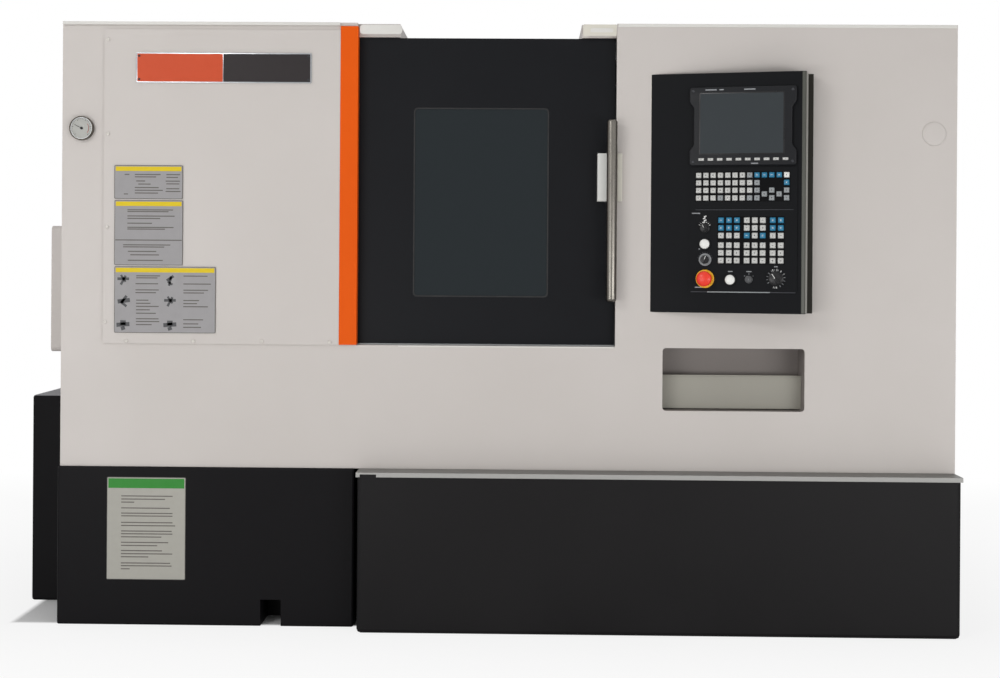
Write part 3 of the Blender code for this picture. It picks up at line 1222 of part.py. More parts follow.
# Tailstock
def make_tailstock():
    right = TAILSTOCK_LEFT + TAILSTOCK_LENGTH
    outline = barrel_outline(WAYS[0][0], WAYS[1][1], TAILSTOCK_SHOULDER_DROP, TAILSTOCK_BARREL)
    body = plate("tailstock_body", [outline], TAILSTOCK_LEFT, right, ALONG_SLANT, CASTING)
    cut(body, rod("quill_bore", QUILL_RADIUS + GAP, TAILSTOCK_LEFT - OVERRUN, right + OVERRUN, SPINDLE_AXIS))


def make_quill():
    front = TAILSTOCK_LEFT - QUILL_REACH
    rear = front + QUILL_LENGTH
    profile = [(0, rear), (QUILL_RADIUS, rear), (QUILL_RADIUS, front + EDGE), (QUILL_RADIUS - EDGE, front),
               (QUILL_BORE_RADIUS, front), (QUILL_BORE_RADIUS, front + QUILL_BORE_DEPTH),
               (0, front + QUILL_BORE_DEPTH)]
    turned("tailstock_quill", profile, SPINDLE_AXIS, STEEL)


def make_live_centre():
    back = TAILSTOCK_LEFT - QUILL_REACH - GAP
    head = back - CENTRE_HEAD_LENGTH
    tip = head - CENTRE_TIP_LENGTH
    shank = QUILL_BORE_RADIUS * cos(pi / TURN_STEPS) - GAP
    profile = [(0, back + CENTRE_SHANK_LENGTH), (shank, back + CENTRE_SHANK_LENGTH), (shank, back),
               (CENTRE_HEAD_RADIUS, back), (CENTRE_HEAD_RADIUS, head), (CENTRE_TIP_RADIUS, head),
               (CENTRE_TIP_FLAT, tip), (0, tip)]
    turned("live_centre", profile, SPINDLE_AXIS, STEEL)


# Inner sheets and lamp
def make_inner_bulkhead():
    roof = ENCLOSURE_HEIGHT - ROOF_HEIGHT - GAP
    rear = ENCLOSURE_DEPTH - FOLD - GAP
    over = BULKHEAD_CLEARANCE - BED_DROP
    low_y, low_z = slant_point(BED_LOW, over)
    high_y, high_z = slant_point(BED_HIGH, over)
    outline = [(BULKHEAD_FRONT, BASE_HEIGHT), (BED_TOE_Y - BULKHEAD_CLEARANCE, BASE_HEIGHT),
               (low_y, low_z), (high_y, high_z), (rear, high_z), (rear, roof), (BULKHEAD_FRONT, roof)]
    hole = circle(SPINDLE_Y, SPINDLE_Z, BULKHEAD_HOLE, HOLE_STEPS * 2)
    plate("inner_bulkhead", [outline, hole], BULKHEAD_X, BULKHEAD_X + BULKHEAD_SHEET, ALONG, STAINLESS)


def make_work_area_liner():
    back_wall = GUIDE_Y + GUIDE_THICKNESS / 2 + GUIDE_CLEARANCE + RAIL_SHEET
    ledge = SILL_HEIGHT - LINER_LEDGE_DROP
    path = [(back_wall + GAP, ledge), (LINER_FRONT, ledge - LINER_LEDGE_FALL),
            (LINER_FRONT, LINER_WALL_BOTTOM), (LINER_FLOOR_START, LINER_FLOOR), (LINER_REAR, LINER_FLOOR)]
    liner = bent_sheet("work_area_liner", path, BULKHEAD_X + BULKHEAD_SHEET + GAP, LINER_RIGHT,
                       LINER_SHEET, ALONG, STAINLESS)
    room = POCKET_SHEET + POCKET_CLEARANCE
    cut(liner, block("pocket_room", (POCKET_LEFT - room, 0, POCKET_BOTTOM - room),
                     (LINER_RIGHT + OVERRUN, LINER_FRONT - LINER_LIP, POCKET_TOP + room)))


def make_work_light():
    top = ENCLOSURE_HEIGHT - ROOF_HEIGHT - GAP
    front = ROOF_NOTCH_DEPTH - LAMP_WIDTH / 3
    block("work_light", (LAMP_LEFT, front, top - LAMP_HEIGHT), (LAMP_LEFT + LAMP_LENGTH, front + LAMP_WIDTH, top),
          LEVEL, WHITE, LAMP_ROUND)


# Control panel
def make_panel_housing():
    face = Vector((cos(PANEL_ANGLE), -sin(PANEL_ANGLE)))
    inward = Vector((sin(PANEL_ANGLE), cos(PANEL_ANGLE)))
    corner = face * PANEL_FACE
    flange_x = corner.x + PANEL_SIDE_LEAN
    side_angle = atan2(-PANEL_FLANGE_DEPTH - corner.y, PANEL_SIDE_LEAN)
    bend = (side_angle + PANEL_ANGLE) / 2
    centre = corner - face * (PANEL_ROUND * sin(bend) / cos(bend)) + inward * PANEL_ROUND
    edge = arc(centre.x, centre.y, PANEL_ROUND, -PANEL_ANGLE - pi / 2, side_angle - pi / 2, ARC_STEPS)
    outline = [(GAP / sin(PANEL_ANGLE) * cos(PANEL_ANGLE), -GAP), *edge, (flange_x, -PANEL_FLANGE_DEPTH),
               (flange_x + PANEL_FLANGE_WIDTH, -PANEL_FLANGE_DEPTH), (flange_x + PANEL_FLANGE_WIDTH, -GAP)]
    housing = plate("panel_housing", [outline], PANEL_BOTTOM, PANEL_TOP, at(PANEL_LEFT, 0, 0), PANEL_BLACK)
    for number, (along, up) in enumerate(CONTROLS, 1):
        cut(housing, rod(f"control_hole_{number}", CONTROL_HOLE, -CONTROL_HOLE_DEPTH, OVERRUN,
                         PANEL @ at(along, up, 0), sides=HOLE_STEPS))


def mdi_places():
    """Key places: a full first row, a block of columns, the last column and the arrow cross."""
    places = []
    for row in range(MDI_ROWS):
        for column in range(MDI_COLUMNS):
            if row == 0 or column < MDI_BLOCK_COLUMNS or column == MDI_COLUMNS - 1:
                places.append((column, row))
    cross = MDI_BLOCK_COLUMNS + 1
    low = MDI_ROWS - 1
    places += [(cross - 1, low - 0.5), (cross, low - 1), (cross, low), (cross + 1, low - 0.5)]
    return [(MDI_LEFT + column * MDI_PITCH_X, MDI_TOP_ROW - row * MDI_PITCH_Z) for column, row in places]


def operator_places():
    """Key places: three groups of columns, with a wider gap half-way down."""
    places = []
    column = 0
    for group, count in enumerate(OPERATOR_GROUPS):
        for _ in range(count):
            along = OPERATOR_LEFT + column * OPERATOR_PITCH_X + group * OPERATOR_GROUP_GAP
            column += 1
            for row in range(OPERATOR_ROWS):
                lower = OPERATOR_ROW_GAP if row >= OPERATOR_ROWS / 2 else 0
                places.append((along, OPERATOR_TOP_ROW - row * OPERATOR_PITCH_Z - lower))
    return places


def pad_bounds(places, key):
    """The keypad's outline round its keys, as low and high corners."""
    reach = key / 2 + KEYPAD_MARGIN
    return (min(x for x, _ in places) - reach, min(y for _, y in places) - reach,
            max(x for x, _ in places) + reach, max(y for _, y in places) + reach)


def key_caps(name, places, width, height, base, rise):
    """Tapered caps, one for each place."""
    def build(work):
        for along, up in places:
            corners = block_into(work, (along - width / 2, up - height / 2, base),
                                 (along + width / 2, up + height / 2, base + rise))
            upper = [corner for corner in corners if corner.co.z > base + rise / 2]
            bmesh.ops.scale(work, verts=upper, vec=(KEY_TOP_SHARE, KEY_TOP_SHARE, 1),
                            space=at(-along, -up, 0))
    return add(name, mesh_from(name, build), PANEL)


def make_keypad(name, places, key):
    low_x, low_y, high_x, high_y = pad_bounds(places, key)
    outline = rounded_rectangle(low_x + GAP, low_y + GAP, high_x - GAP, high_y - GAP, KEYPAD_ROUND)
    top = GAP + FASCIA_THICKNESS
    pad = plate(name, [outline], GAP, top, PANEL, KEY_LIGHT)
    sunk = FASCIA_THICKNESS / 3
    join(pad, key_caps(name + "_caps", places, key, key, top - sunk, KEY_RISE + sunk))


def make_panel_fascia():
    outlines = [rounded_rectangle(FASCIA_LEFT, FASCIA_BOTTOM, FASCIA_RIGHT, FASCIA_TOP, FASCIA_ROUND)]
    for places, key in ((mdi_places(), MDI_KEY), (operator_places(), OPERATOR_KEY)):
        outlines.append(rounded_rectangle(*pad_bounds(places, key), KEYPAD_ROUND))
    outlines += [circle(along, up, CONTROL_HOLE) for along, up in CONTROLS]
    plate("panel_fascia", outlines, GAP, GAP + FASCIA_THICKNESS, PANEL, PANEL_BLACK)


def make_display_unit():
    left, right, low, high = DISPLAY_LEFT, DISPLAY_RIGHT, DISPLAY_BOTTOM, DISPLAY_TOP
    waist, lobe = DISPLAY_WAIST, DISPLAY_LOBE
    outline = [(left, low), (right, low), (right, low + lobe), (right - waist, low + lobe + waist),
               (right - waist, high - lobe - waist), (right, high - lobe), (right, high), (left, high),
               (left, high - lobe), (left + waist, high - lobe - waist),
               (left + waist, low + lobe + waist), (left, low + lobe)]
    top = GAP + DISPLAY_THICKNESS
    unit = plate("display_unit", [outline], GAP, top, PANEL, SCREEN)
    round_edges(unit, DISPLAY_ROUND)
    cut(unit, block("screen_recess", (SCREEN_LEFT, SCREEN_BOTTOM, top - SCREEN_RECESS),
                    (SCREEN_RIGHT, SCREEN_TOP, top + OVERRUN), PANEL))
    places = [(SOFT_KEY_FIRST + number * SOFT_KEY_PITCH, SOFT_KEY_Z) for number in range(SOFT_KEYS)]
    join(unit, key_caps("soft_keys", places, SOFT_KEY_WIDTH, SOFT_KEY_HEIGHT, top - SOFT_KEY_RISE,
                        SOFT_KEY_RISE * 2))


def stem(seat):
    """The lower part of every control's profile, down into its hole."""
    return [(STEM_RADIUS, seat), (STEM_RADIUS, -STEM_LENGTH), (0, -STEM_LENGTH)]


def control_frame(place):
    return PANEL @ at(place[0], place[1], 0)


def make_knob(name, place, radius):
    seat = FASCIA_FACE + GAP
    top = seat + KNOB_HEIGHT
    profile = [(0, top), (radius - EDGE, top), (radius, top - EDGE), (radius, seat + KNOB_SKIRT),
               (radius + KNOB_SKIRT_LIP, seat + KNOB_SKIRT), (radius + KNOB_SKIRT_LIP, seat), *stem(seat)]
    knob = turned(name, profile, control_frame(place), KNOB_BLACK)
    half = radius * GRIP_WIDTH_SHARE
    join(knob, block(name + "_ridge", (-half, -radius, top - KNOB_SKIRT), (half, radius, top + KNOB_SKIRT),
                     control_frame(place)))


def make_button(name, place):
    seat = FASCIA_FACE + BUTTON_LIFT
    top = seat + BUTTON_HEIGHT
    profile = [(0, top), (BUTTON_RADIUS - EDGE, top), (BUTTON_RADIUS, top - EDGE), (BUTTON_RADIUS, seat),
               *stem(seat)]
    turned(name, profile, control_frame(place), WHITE)


def make_emergency_stop():
    seat = FASCIA_FACE + MUSHROOM_LIFT
    half = MUSHROOM_HEIGHT / 2
    dome = arc(0, 0, 1, pi / 2, 0, ARC_STEPS)
    profile = [(MUSHROOM_RADIUS * x, seat + half + half * y) for x, y in dome]
    profile += [(MUSHROOM_RADIUS, seat + EDGE), (MUSHROOM_RADIUS - EDGE, seat), *stem(seat)]
    turned("emergency_stop", profile, control_frame(EMERGENCY_STOP), RED)
    low = FASCIA_FACE + GAP
    top = low + COLLAR_HEIGHT
    ring = [(COLLAR_RADIUS - EDGE, top), (COLLAR_RADIUS, top - EDGE), (COLLAR_RADIUS, low),
            (COLLAR_HOLE, low), (COLLAR_HOLE, top)]
    turned("emergency_stop_collar", ring, control_frame(EMERGENCY_STOP), YELLOW, closed=True)


def make_key_switch():
    seat = FASCIA_FACE + GAP
    top = seat + KEY_BARREL_HEIGHT
    profile = [(0, top), (KEY_BARREL_RADIUS - EDGE, top), (KEY_BARREL_RADIUS, top - EDGE),
               (KEY_BARREL_RADIUS, seat), *stem(seat)]
    barrel = turned("key_switch", profile, control_frame(KEY_SWITCH), CHROME)
    half = KEY_SLOT_WIDTH / 2
    reach = KEY_BARREL_RADIUS / 2
    cut(barrel, block("key_slot", (-half, -reach, top - KEY_SLOT_DEPTH), (half, reach, top + OVERRUN),
                      control_frame(KEY_SWITCH)))


def centre_footprint():
    """Put the middle of the machine's footprint at the origin."""
    bpy.context.view_layer.update()
    graph = bpy.context.evaluated_depsgraph_get()
    corners = []
    for thing in machine.objects:
        solid = thing.evaluated_get(graph)
        corners += [solid.matrix_world @ corner.co for corner in solid.data.vertices]
    root = bpy.data.objects.new("lathe_root", None)
    machine.objects.link(root)
    middle_x = (min(corner.x for corner in corners) + max(corner.x for corner in corners)) / 2
    middle_y = (min(corner.y for corner in corners) + max(corner.y for corner in corners)) / 2
    root.location = (-middle_x, -middle_y, 0)
    for thing in [*machine.objects, *cutter_collection.objects]:
        if thing is not root:
            thing.parent = root


make_machine_base()
make_coolant_tank()
make_tank_cover()
make_side_cabinet()
make_front_panel()
make_headstock_cover()
make_orange_trim()
make_side_panels()
make_rear_panel()
make_roof()
make_cylinder_cover()
make_document_pocket()
make_pressure_gauge()
make_hole_plug()
make_electrical_cabinet()
make_main_switch()
make_door_rails()
make_door_panel()
make_door_window()
make_door_handle()
make_door_latch()
make_interlock_switch()
make_slant_bed()
make_headstock()
make_spindle()
make_pulleys()
make_drive_belt()
make_spindle_motor()
make_chuck()
make_chuck_cylinder()
make_z_carriage()
make_cross_slide()
make_turret_housing()
make_turret_disc()
make_tailstock()
make_quill()
make_live_centre()
make_inner_bulkhead()
make_work_area_liner()
make_work_light()
make_panel_housing()
make_panel_fascia()
make_display_unit()
make_keypad("mdi_keys", mdi_places(), MDI_KEY)
make_keypad("operator_keys", operator_places(), OPERATOR_KEY)
make_emergency_stop()
make_button("cycle_start_button", CYCLE_START)
make_button("program_stop_button", PROGRAM_STOP)
make_key_switch()
make_knob("spindle_knob", SPINDLE_KNOB, SMALL_KNOB_RADIUS)
make_knob("feed_knob", FEED_KNOB, FEED_KNOB_RADIUS)
make_knob("mode_knob", MODE_KNOB, MODE_KNOB_RADIUS)
centre_footprint()
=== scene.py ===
# %% [markdown]
# # An enclosed turning lathe, from the outside in
# The machine is a slant-bed lathe in a sheet-metal enclosure: a black base with a coolant tank, cream
# side and front sheets, a sliding door with a dark window, and a wedge-shaped control panel.
# The solids of the model are loaded first. They fix every size, so each new piece is measured from them.

# %% Load the solids
from math import atan2, cos, pi, radians, sin, tau

import bmesh
import bpy
from mathutils import Matrix, Vector


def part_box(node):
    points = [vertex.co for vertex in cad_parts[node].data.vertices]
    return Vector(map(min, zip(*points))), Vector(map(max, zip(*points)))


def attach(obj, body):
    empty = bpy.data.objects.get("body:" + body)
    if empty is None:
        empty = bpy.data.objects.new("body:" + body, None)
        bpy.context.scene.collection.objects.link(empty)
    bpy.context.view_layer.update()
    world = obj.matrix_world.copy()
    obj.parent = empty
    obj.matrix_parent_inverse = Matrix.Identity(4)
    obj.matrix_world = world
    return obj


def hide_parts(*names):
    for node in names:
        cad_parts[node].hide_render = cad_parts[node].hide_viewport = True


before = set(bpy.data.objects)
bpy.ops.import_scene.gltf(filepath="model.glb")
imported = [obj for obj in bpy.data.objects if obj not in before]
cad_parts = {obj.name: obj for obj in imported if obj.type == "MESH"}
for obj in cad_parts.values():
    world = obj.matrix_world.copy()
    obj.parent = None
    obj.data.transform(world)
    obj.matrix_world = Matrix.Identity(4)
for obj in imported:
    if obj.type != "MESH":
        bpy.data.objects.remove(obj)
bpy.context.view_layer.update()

# %% [markdown]
# ## Where things are
# The drawings of the machine count X from the left side of the enclosure, Y from its front sheet and Z
# from the floor. The front sheet's own box gives that corner, so one small function turns a place on
# the drawing into a place in the scene.

# %% Machine coordinates
sheet_low, sheet_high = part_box("front_panel")
CORNER = Vector((sheet_low.x, sheet_low.y, 0))
WIDTH = sheet_high.x - sheet_low.x
HEIGHT = sheet_high.z


def on_machine(x, y, z):
    """A place counted from the enclosure's front left corner on the floor."""
    return CORNER + Vector((x, y, z))


print("enclosure", round(WIDTH, 3), "x", round(HEIGHT, 3))

# %% [markdown]
# ## The camera
# The picture was taken 4.5 metres in front of the machine, a little to the right of its middle and about
# one metre above the floor. The camera is level, so that upright edges stay upright. A level camera sees
# the horizon in the middle of its frame, and a vertical shift of the lens brings the machine to its place
# in the picture without tilting the view. The place, a small yaw and a small roll were found by fitting
# corners of the model to the same corners in the picture.

# %% Camera
PICTURE_WIDTH = 1000
FOCAL_PIXELS = 1547.5
SENSOR = 36.0
SHIFT = -0.075
YAW = 0.0175
ROLL = 0.0068
EYE = on_machine(1.3594, -4.4958, 1.0574)
lens = bpy.data.cameras.new("front_view")
lens.sensor_width = SENSOR
lens.lens = FOCAL_PIXELS / PICTURE_WIDTH * SENSOR
lens.shift_y = SHIFT
lens.clip_end = 60
camera = bpy.data.objects.new("front_view", lens)
bpy.context.scene.collection.objects.link(camera)
level = Matrix.Rotation(YAW, 4, "Z") @ Matrix.Rotation(pi / 2, 4, "X") @ Matrix.Rotation(ROLL, 4, "Z")
camera.matrix_world = Matrix.Translation(EYE) @ level
bpy.context.scene.camera = camera
bpy.context.scene.view_settings.view_transform = "Standard"
print("camera at", [round(value, 3) for value in camera.location])

# %% [markdown]
# ## Colours and nodes
# Colours are written as the hex values that a colour picker shows. Shaders count light, so one function
# turns each value from the screen's scale to the linear one. A second small function adds a node,
# sets its values and joins its inputs, and every material below is built with it.


# %% Colour and node helpers
def linear(hex_colour):
    """The hex value of a colour as linear red, green, blue and alpha."""
    shares = [int(hex_colour[place:place + 2], 16) / 255 for place in (1, 3, 5)]
    return (*(share / 12.92 if share <= 0.04045 else ((share + 0.055) / 1.055) ** 2.4 for share in shares), 1)


def node(tree, kind, values=None, links=None, **settings):
    """Add one node: settings are its properties, values and links go by the names of its inputs."""
    made = tree.nodes.new("ShaderNode" + kind)
    for name, value in settings.items():
        setattr(made, name, value)
    for name, value in (values or {}).items():
        made.inputs[name].default_value = value
    for name, source in (links or {}).items():
        tree.links.new(source, made.inputs[name])
    return made


def new_finish(name, **values):
    """A material with its Principled shader, whose even values are set on the sockets themselves."""
    material = bpy.data.materials.new(name)
    material.use_nodes = True
    shader = material.node_tree.nodes["Principled BSDF"]
    for socket, value in values.items():
        shader.inputs[socket.replace("_", " ")].default_value = value
    return material, material.node_tree, shader


print("cream is", [round(value, 3) for value in linear("#C9C4BD")[:3]])

# %% [markdown]
# ## Tone, gloss and grain
# Every finish varies in the same three ways. A soft noise blends two tones, another moves the gloss a
# little, and a fine one raises a grain. The noises are counted in the coordinates of the object, so
# they keep their size on large sheets and on small keys alike.


# %% Noise, blend, gloss and grain
def noise(tree, place, scale, detail, roughness=0.5):
    """A soft noise, with its scale in waves per metre."""
    made = node(tree, "TexNoise", {"Scale": scale, "Detail": detail, "Roughness": roughness}, {"Vector": place})
    return made.outputs["Fac"]


def blend(tree, share, first, second):
    """A colour between two, each a hex value or the output of a node."""
    mix = node(tree, "Mix", links={0: share}, data_type="RGBA")
    for slot, colour in ((6, first), (7, second)):
        if isinstance(colour, str):
            mix.inputs[slot].default_value = linear(colour)
        else:
            tree.links.new(colour, mix.inputs[slot])
    return mix.outputs[2]


def vary_gloss(tree, shader, source, least, most, low=0.3):
    """Let a noise move the roughness from least to most."""
    gloss = node(tree, "MapRange", {"From Min": low, "From Max": 1 - low, "To Min": least, "To Max": most},
                 {"Value": source})
    tree.links.new(gloss.outputs["Result"], shader.inputs["Roughness"])


def raise_grain(tree, shader, source, depth, height):
    """Let a noise stand out of the surface as a bump."""
    bump = node(tree, "Bump", {"Strength": depth, "Distance": height}, {"Height": source})
    tree.links.new(bump.outputs["Normal"], shader.inputs["Normal"])


print("helpers ready:", noise.__name__, blend.__name__, vary_gloss.__name__, raise_grain.__name__)

# %% [markdown]
# ## Painted sheet
# Machine enclosures are powder coated: a plastic powder is melted onto the steel and flows to a
# slightly pebbled skin, called orange peel. The eye sees it as soft, broken-up reflections. The real
# pebbles are about 1.5 mm wide, finer than one pixel here, so they are drawn at 4 mm to show at all.
# A slow change of tone over a hand's width keeps large sheets from looking flat, and dust gathers
# low down and darkens the paint a little.


# %% Powder coat
def powder_coat(name, colour, shade, roughness, peel=0.004, depth=0.15, dust=0.0, sheen=0.5, top=None):
    """Paint with orange peel; colour to shade is the slow change of tone, top is painted light and shade on
    faces that look up.
    """
    material, tree, shader = new_finish(name, IOR=1.5, Specular_IOR_Level=sheen)
    place = node(tree, "TexCoord").outputs["Object"]
    slow = noise(tree, place, 2.2, 3.0, 0.55)
    paint = blend(tree, slow, colour, shade)
    if dust:
        height = node(tree, "SeparateXYZ", links={"Vector": place})
        low = node(tree, "MapRange", {"From Min": 0.95, "From Max": 0.42, "To Max": dust},
                   {"Value": height.outputs["Z"]})
        amount = node(tree, "Math", links={0: low.outputs["Result"], 1: noise(tree, place, 14.0, 6.0, 0.7)},
                      operation="MULTIPLY")
        paint = blend(tree, amount.outputs[0], paint, "#8A8680")
    # Faces that look up take the top colour: painted light from above on the cabinet, painted shade on the lid.
    if top:
        side = node(tree, "NewGeometry")
        painted_top_normal = node(tree, "SeparateXYZ", links={"Vector": side.outputs["Normal"]})
        share = node(tree, "MapRange", {"From Min": 0.6, "From Max": 0.8}, {"Value": painted_top_normal.outputs["Z"]})
        paint = blend(tree, share.outputs["Result"], paint, top)
    tree.links.new(paint, shader.inputs["Base Color"])
    vary_gloss(tree, shader, slow, roughness - 0.05, roughness + 0.07)
    raise_grain(tree, shader, noise(tree, place, 1 / peel, 2.0), depth, 0.0006)
    return material


cream = powder_coat("cream_powder_coat", "#C8C2BE", "#C1BBB6", 0.46, dust=0.03, sheen=0.35)
# The pocket is painted darker than the cream it is made of, as painted shade inside its deep hollow.
pocket_painted_shade = powder_coat("pocket_painted_shade_grey", "#8B8480", "#7F7874", 0.50, sheen=0.3)
# The tray is painted lighter than the pocket, as painted light on the lit lower part of the pocket's back wall.
tray_painted_light = powder_coat("pocket_tray_painted_light", "#9E9B91", "#928F86", 0.46, sheen=0.3)
black = powder_coat("black_powder_coat", "#0D0C0E", "#121113", 0.50, depth=0.3, sheen=0.09)
tank_paint = powder_coat("tank_black_paint", "#151415", "#1B1A1B", 0.44, depth=0.2, sheen=0.12)
# The cabinet's top is painted lighter grey, as painted light from above on its black paint.
cabinet_paint = powder_coat("cabinet_black_paint", "#0A090B", "#0F0E10", 0.50, depth=0.3, sheen=0.08,
                            top="#8C8C90")
door_paint = powder_coat("door_satin_paint", "#111215", "#17181B", 0.40, depth=0.08, sheen=0.10)
# The lid's top is painted darker, as painted shade under the overhanging enclosure; its front lip keeps the
# light grey.
lid_paint = powder_coat("light_grey_enamel", "#A9A8A5", "#9C9B98", 0.40, sheen=0.3, top="#6B6A67")
orange = powder_coat("orange_enamel", "#E45C0E", "#DC540A", 0.42, depth=0.10, sheen=0.08)
# Pale paint for the small covers, and painted highlights on the folded edges along the top and the sill.
pale_cover_and_edge_highlight = powder_coat("pale_cover_and_painted_edge_highlight", "#DCDAD5", "#D2D0CB", 0.42, sheen=0.3)
casting_paint = powder_coat("machine_grey_casting_paint", "#7E8486", "#727779", 0.48, peel=0.006, depth=0.6)
FINE = 0.003
panel_paint = powder_coat("panel_black_powder_coat", "#0D0E10", "#121316", 0.42, FINE, 0.12, sheen=0.08)
# The panel's rounded front corner is painted grey, as a painted highlight of its bend.
panel_corner_highlight = powder_coat("panel_corner_painted_highlight", "#565750", "#3F403A", 0.38, FINE, 0.10, sheen=0.3)
# The black panel's right side is painted pale, as a painted reflection of the white surroundings at a grazing
# angle.
panel_side_reflection = powder_coat("panel_side_painted_reflection", "#96958F", "#85847F", 0.30, FINE, 0.12)
flange_paint = powder_coat("panel_flange_paint", "#2B2923", "#24221E", 0.50, FINE, 0.12, sheen=0.10)
painted_screw = powder_coat("pale_enamelled_screws", "#DDD9D3", "#CFCBC4", 0.38, FINE, 0.05, sheen=0.3)
print("paints:", len(bpy.data.materials))

# %% [markdown]
# ## Metals
# Bare metal shows how it was cut. A turned face carries rings about its axis, ground and brushed bars
# carry fine straight lines, and both spread reflections across the lines. Stretched noise gives such
# lines: very fine across and long along. The real scratches are a tenth of a millimetre apart, so
# they are drawn coarser to show.


# %% Metals
def metal(name, colour, shade, roughness, stretch=(1, 1, 1)):
    """Bare metal with its cutting marks; stretch lengthens them along the axes of the machine."""
    material, tree, shader = new_finish(name, Metallic=1.0)
    place = node(tree, "TexCoord").outputs["Object"]
    along = node(tree, "Mapping", {"Scale": stretch}, {"Vector": place}).outputs["Vector"]
    marks = noise(tree, along, 500, 3.0, 0.6)
    tone = blend(tree, noise(tree, along, 45.0, 5.0, 0.65), colour, shade)
    tree.links.new(tone, shader.inputs["Base Color"])
    vary_gloss(tree, shader, marks, roughness - 0.08, roughness + 0.10, low=0.25)
    raise_grain(tree, shader, marks, 0.1, 0.0003)
    return material


# The wide gap from colour to shade, stretched along the bar, paints long streaks: painted reflections of the
# room.
polished_painted_reflections = metal("polished_bar_painted_reflection_streaks", "#85817A", "#4E4B47", 0.27, stretch=(1, 1, 0.03))
machined = metal("machined_steel", "#A9ABAE", "#96989B", 0.30, stretch=(0.05, 1, 1))
blackened = metal("blackened_steel", "#4A4B4E", "#3C3D40", 0.40)
sheet_steel = metal("stainless_liner_sheet", "#A2A4A5", "#8E9091", 0.34, stretch=(0.04, 1, 1))
gauge_case = metal("bronzed_gauge_case", "#5C564C", "#4A453D", 0.26)
zinc = metal("zinc_plated_screws", "#B9BABB", "#A3A4A5", 0.32)
print("finishes so far:", len(bpy.data.materials))

# %% [markdown]
# ## Plastics, rubber and glass
# Moulded plastics differ mostly in colour and gloss. Each gets a faint unevenness in its gloss, as
# mould skins have, and a fine grain. The window is tinted polycarbonate: a clear sheet that hardly lets
# light through, so it reads as a dark, glossy pane.


# %% Plastics
def moulded(name, colour, roughness, grain=0.0015, depth=0.05, **values):
    """Moulded plastic or rubber with a fine grain."""
    material, tree, shader = new_finish(name, **values)
    place = node(tree, "TexCoord").outputs["Object"]
    shader.inputs["Base Color"].default_value = linear(colour)
    vary_gloss(tree, shader, noise(tree, place, 40.0, 2.0), roughness - 0.04, roughness + 0.05)
    raise_grain(tree, shader, noise(tree, place, 1 / grain, 2.0), depth, 0.0002)
    return material


white_plastic = moulded("white_abs_housing", "#E4E4E0", 0.38)
key_light = moulded("light_keycap_plastic", "#BFBFBC", 0.50)
key_grey = moulded("grey_keycap_plastic", "#8E9294", 0.50)
dial_ring = moulded("grey_dial_ring", "#808284", 0.40)
key_blue = moulded("blue_keycap_plastic", "#1C7296", 0.48)
latch_plastic = moulded("pale_grey_latch_plastic", "#DADAD6", 0.40)
switch_plastic = moulded("grey_switch_housing", "#D2CEC2", 0.45)
steel_key = moulded("darkened_lock_barrel", "#3A3B3D", 0.35)
knob_plastic = moulded("black_phenolic_knob", "#141416", 0.30, Specular_IOR_Level=0.3)
stop_red = moulded("red_stop_mushroom", "#E8331C", 0.30)
stop_yellow = moulded("yellow_stop_collar", "#F0B21E", 0.40)
rubber = moulded("belt_rubber", "#1B1B1C", 0.75, grain=0.003, depth=0.4)
bezel_plastic = moulded("display_bezel_plastic", "#17181B", 0.40, Specular_IOR_Level=0.18)
membrane = moulded("black_key_membrane", "#08080A", 0.62, Specular_IOR_Level=0.08)
screen_glass = moulded("screen_glass", "#363B3E", 0.14, depth=0.0, IOR=1.5, Specular_IOR_Level=0.15)
lamp_lens = moulded("lamp_diffuser", "#ECEBE4", 0.30)
window_tint = moulded("tinted_polycarbonate", "#22282B", 0.08, depth=0.0, IOR=1.58, Specular_IOR_Level=0.10)
print("finishes:", len(bpy.data.materials))

# %% [markdown]
# ## Dressing the solids
# Most sheets and castings of the model have the right shape already. They keep it, and each only gets
# its finish. Pieces that the eye meets at close range, such as keys, knobs, the gauge and the handle,
# are made again further down and stand in for their solids.

# %% Finishes of the solids
dressing = {
    cream: ["front_panel", "headstock_cover", "left_side_panel", "right_side_panel", "rear_panel",
            "roof_left", "roof_right", "cylinder_cover", "electrical_cabinet", "hole_plug"],
    pocket_painted_shade: ["document_pocket"],
    black: ["machine_base"],
    cabinet_paint: ["side_cabinet"],
    tank_paint: ["coolant_tank"],
    door_paint: ["door_panel"],
    orange: ["orange_trim"],
    lid_paint: ["tank_cover"],
    window_tint: ["door_window"],
    polished_painted_reflections: ["door_handle", "pressure_gauge", "key_switch"],
    switch_plastic: ["interlock_switch"],
    white_plastic: ["cycle_start_button", "program_stop_button"],
    lamp_lens: ["work_light"],
    latch_plastic: ["door_latch"],
    machined: ["spindle", "chuck_body", "chuck_jaw_1", "chuck_jaw_2", "chuck_jaw_3", "turret_disc",
               "tailstock_quill", "live_centre"],
    blackened: ["spindle_motor", "motor_pulley", "spindle_pulley"],
    casting_paint: ["slant_bed", "headstock", "z_carriage", "cross_slide", "turret_housing",
                    "tailstock_body", "chuck_cylinder"],
    rubber: ["drive_belt"],
    sheet_steel: ["upper_door_rail", "lower_door_rail", "work_area_liner", "inner_bulkhead"],
    panel_paint: ["panel_housing", "panel_fascia"],
    bezel_plastic: ["display_unit"],
    key_light: ["mdi_keys", "operator_keys"],
    stop_red: ["emergency_stop", "main_switch"],
    stop_yellow: ["emergency_stop_collar"],
    knob_plastic: ["feed_knob", "mode_knob", "spindle_knob"],
}
for finish, names in dressing.items():
    for name in names:
        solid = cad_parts[name]
        if not solid.material_slots:
            solid.data.materials.append(None)
        for slot in solid.material_slots:
            slot.material = finish
print("solids dressed:", sum(len(names) for names in dressing.values()))

# %% [markdown]
# ## The studio
# The floor is pale and plain, and the background is white in the picture, in reflections and through
# the glass. A soft light high at the left gives the shadows their direction, two low ones in front
# fill the sheets evenly, one hangs above, and a weak even light from all round keeps shadows open.


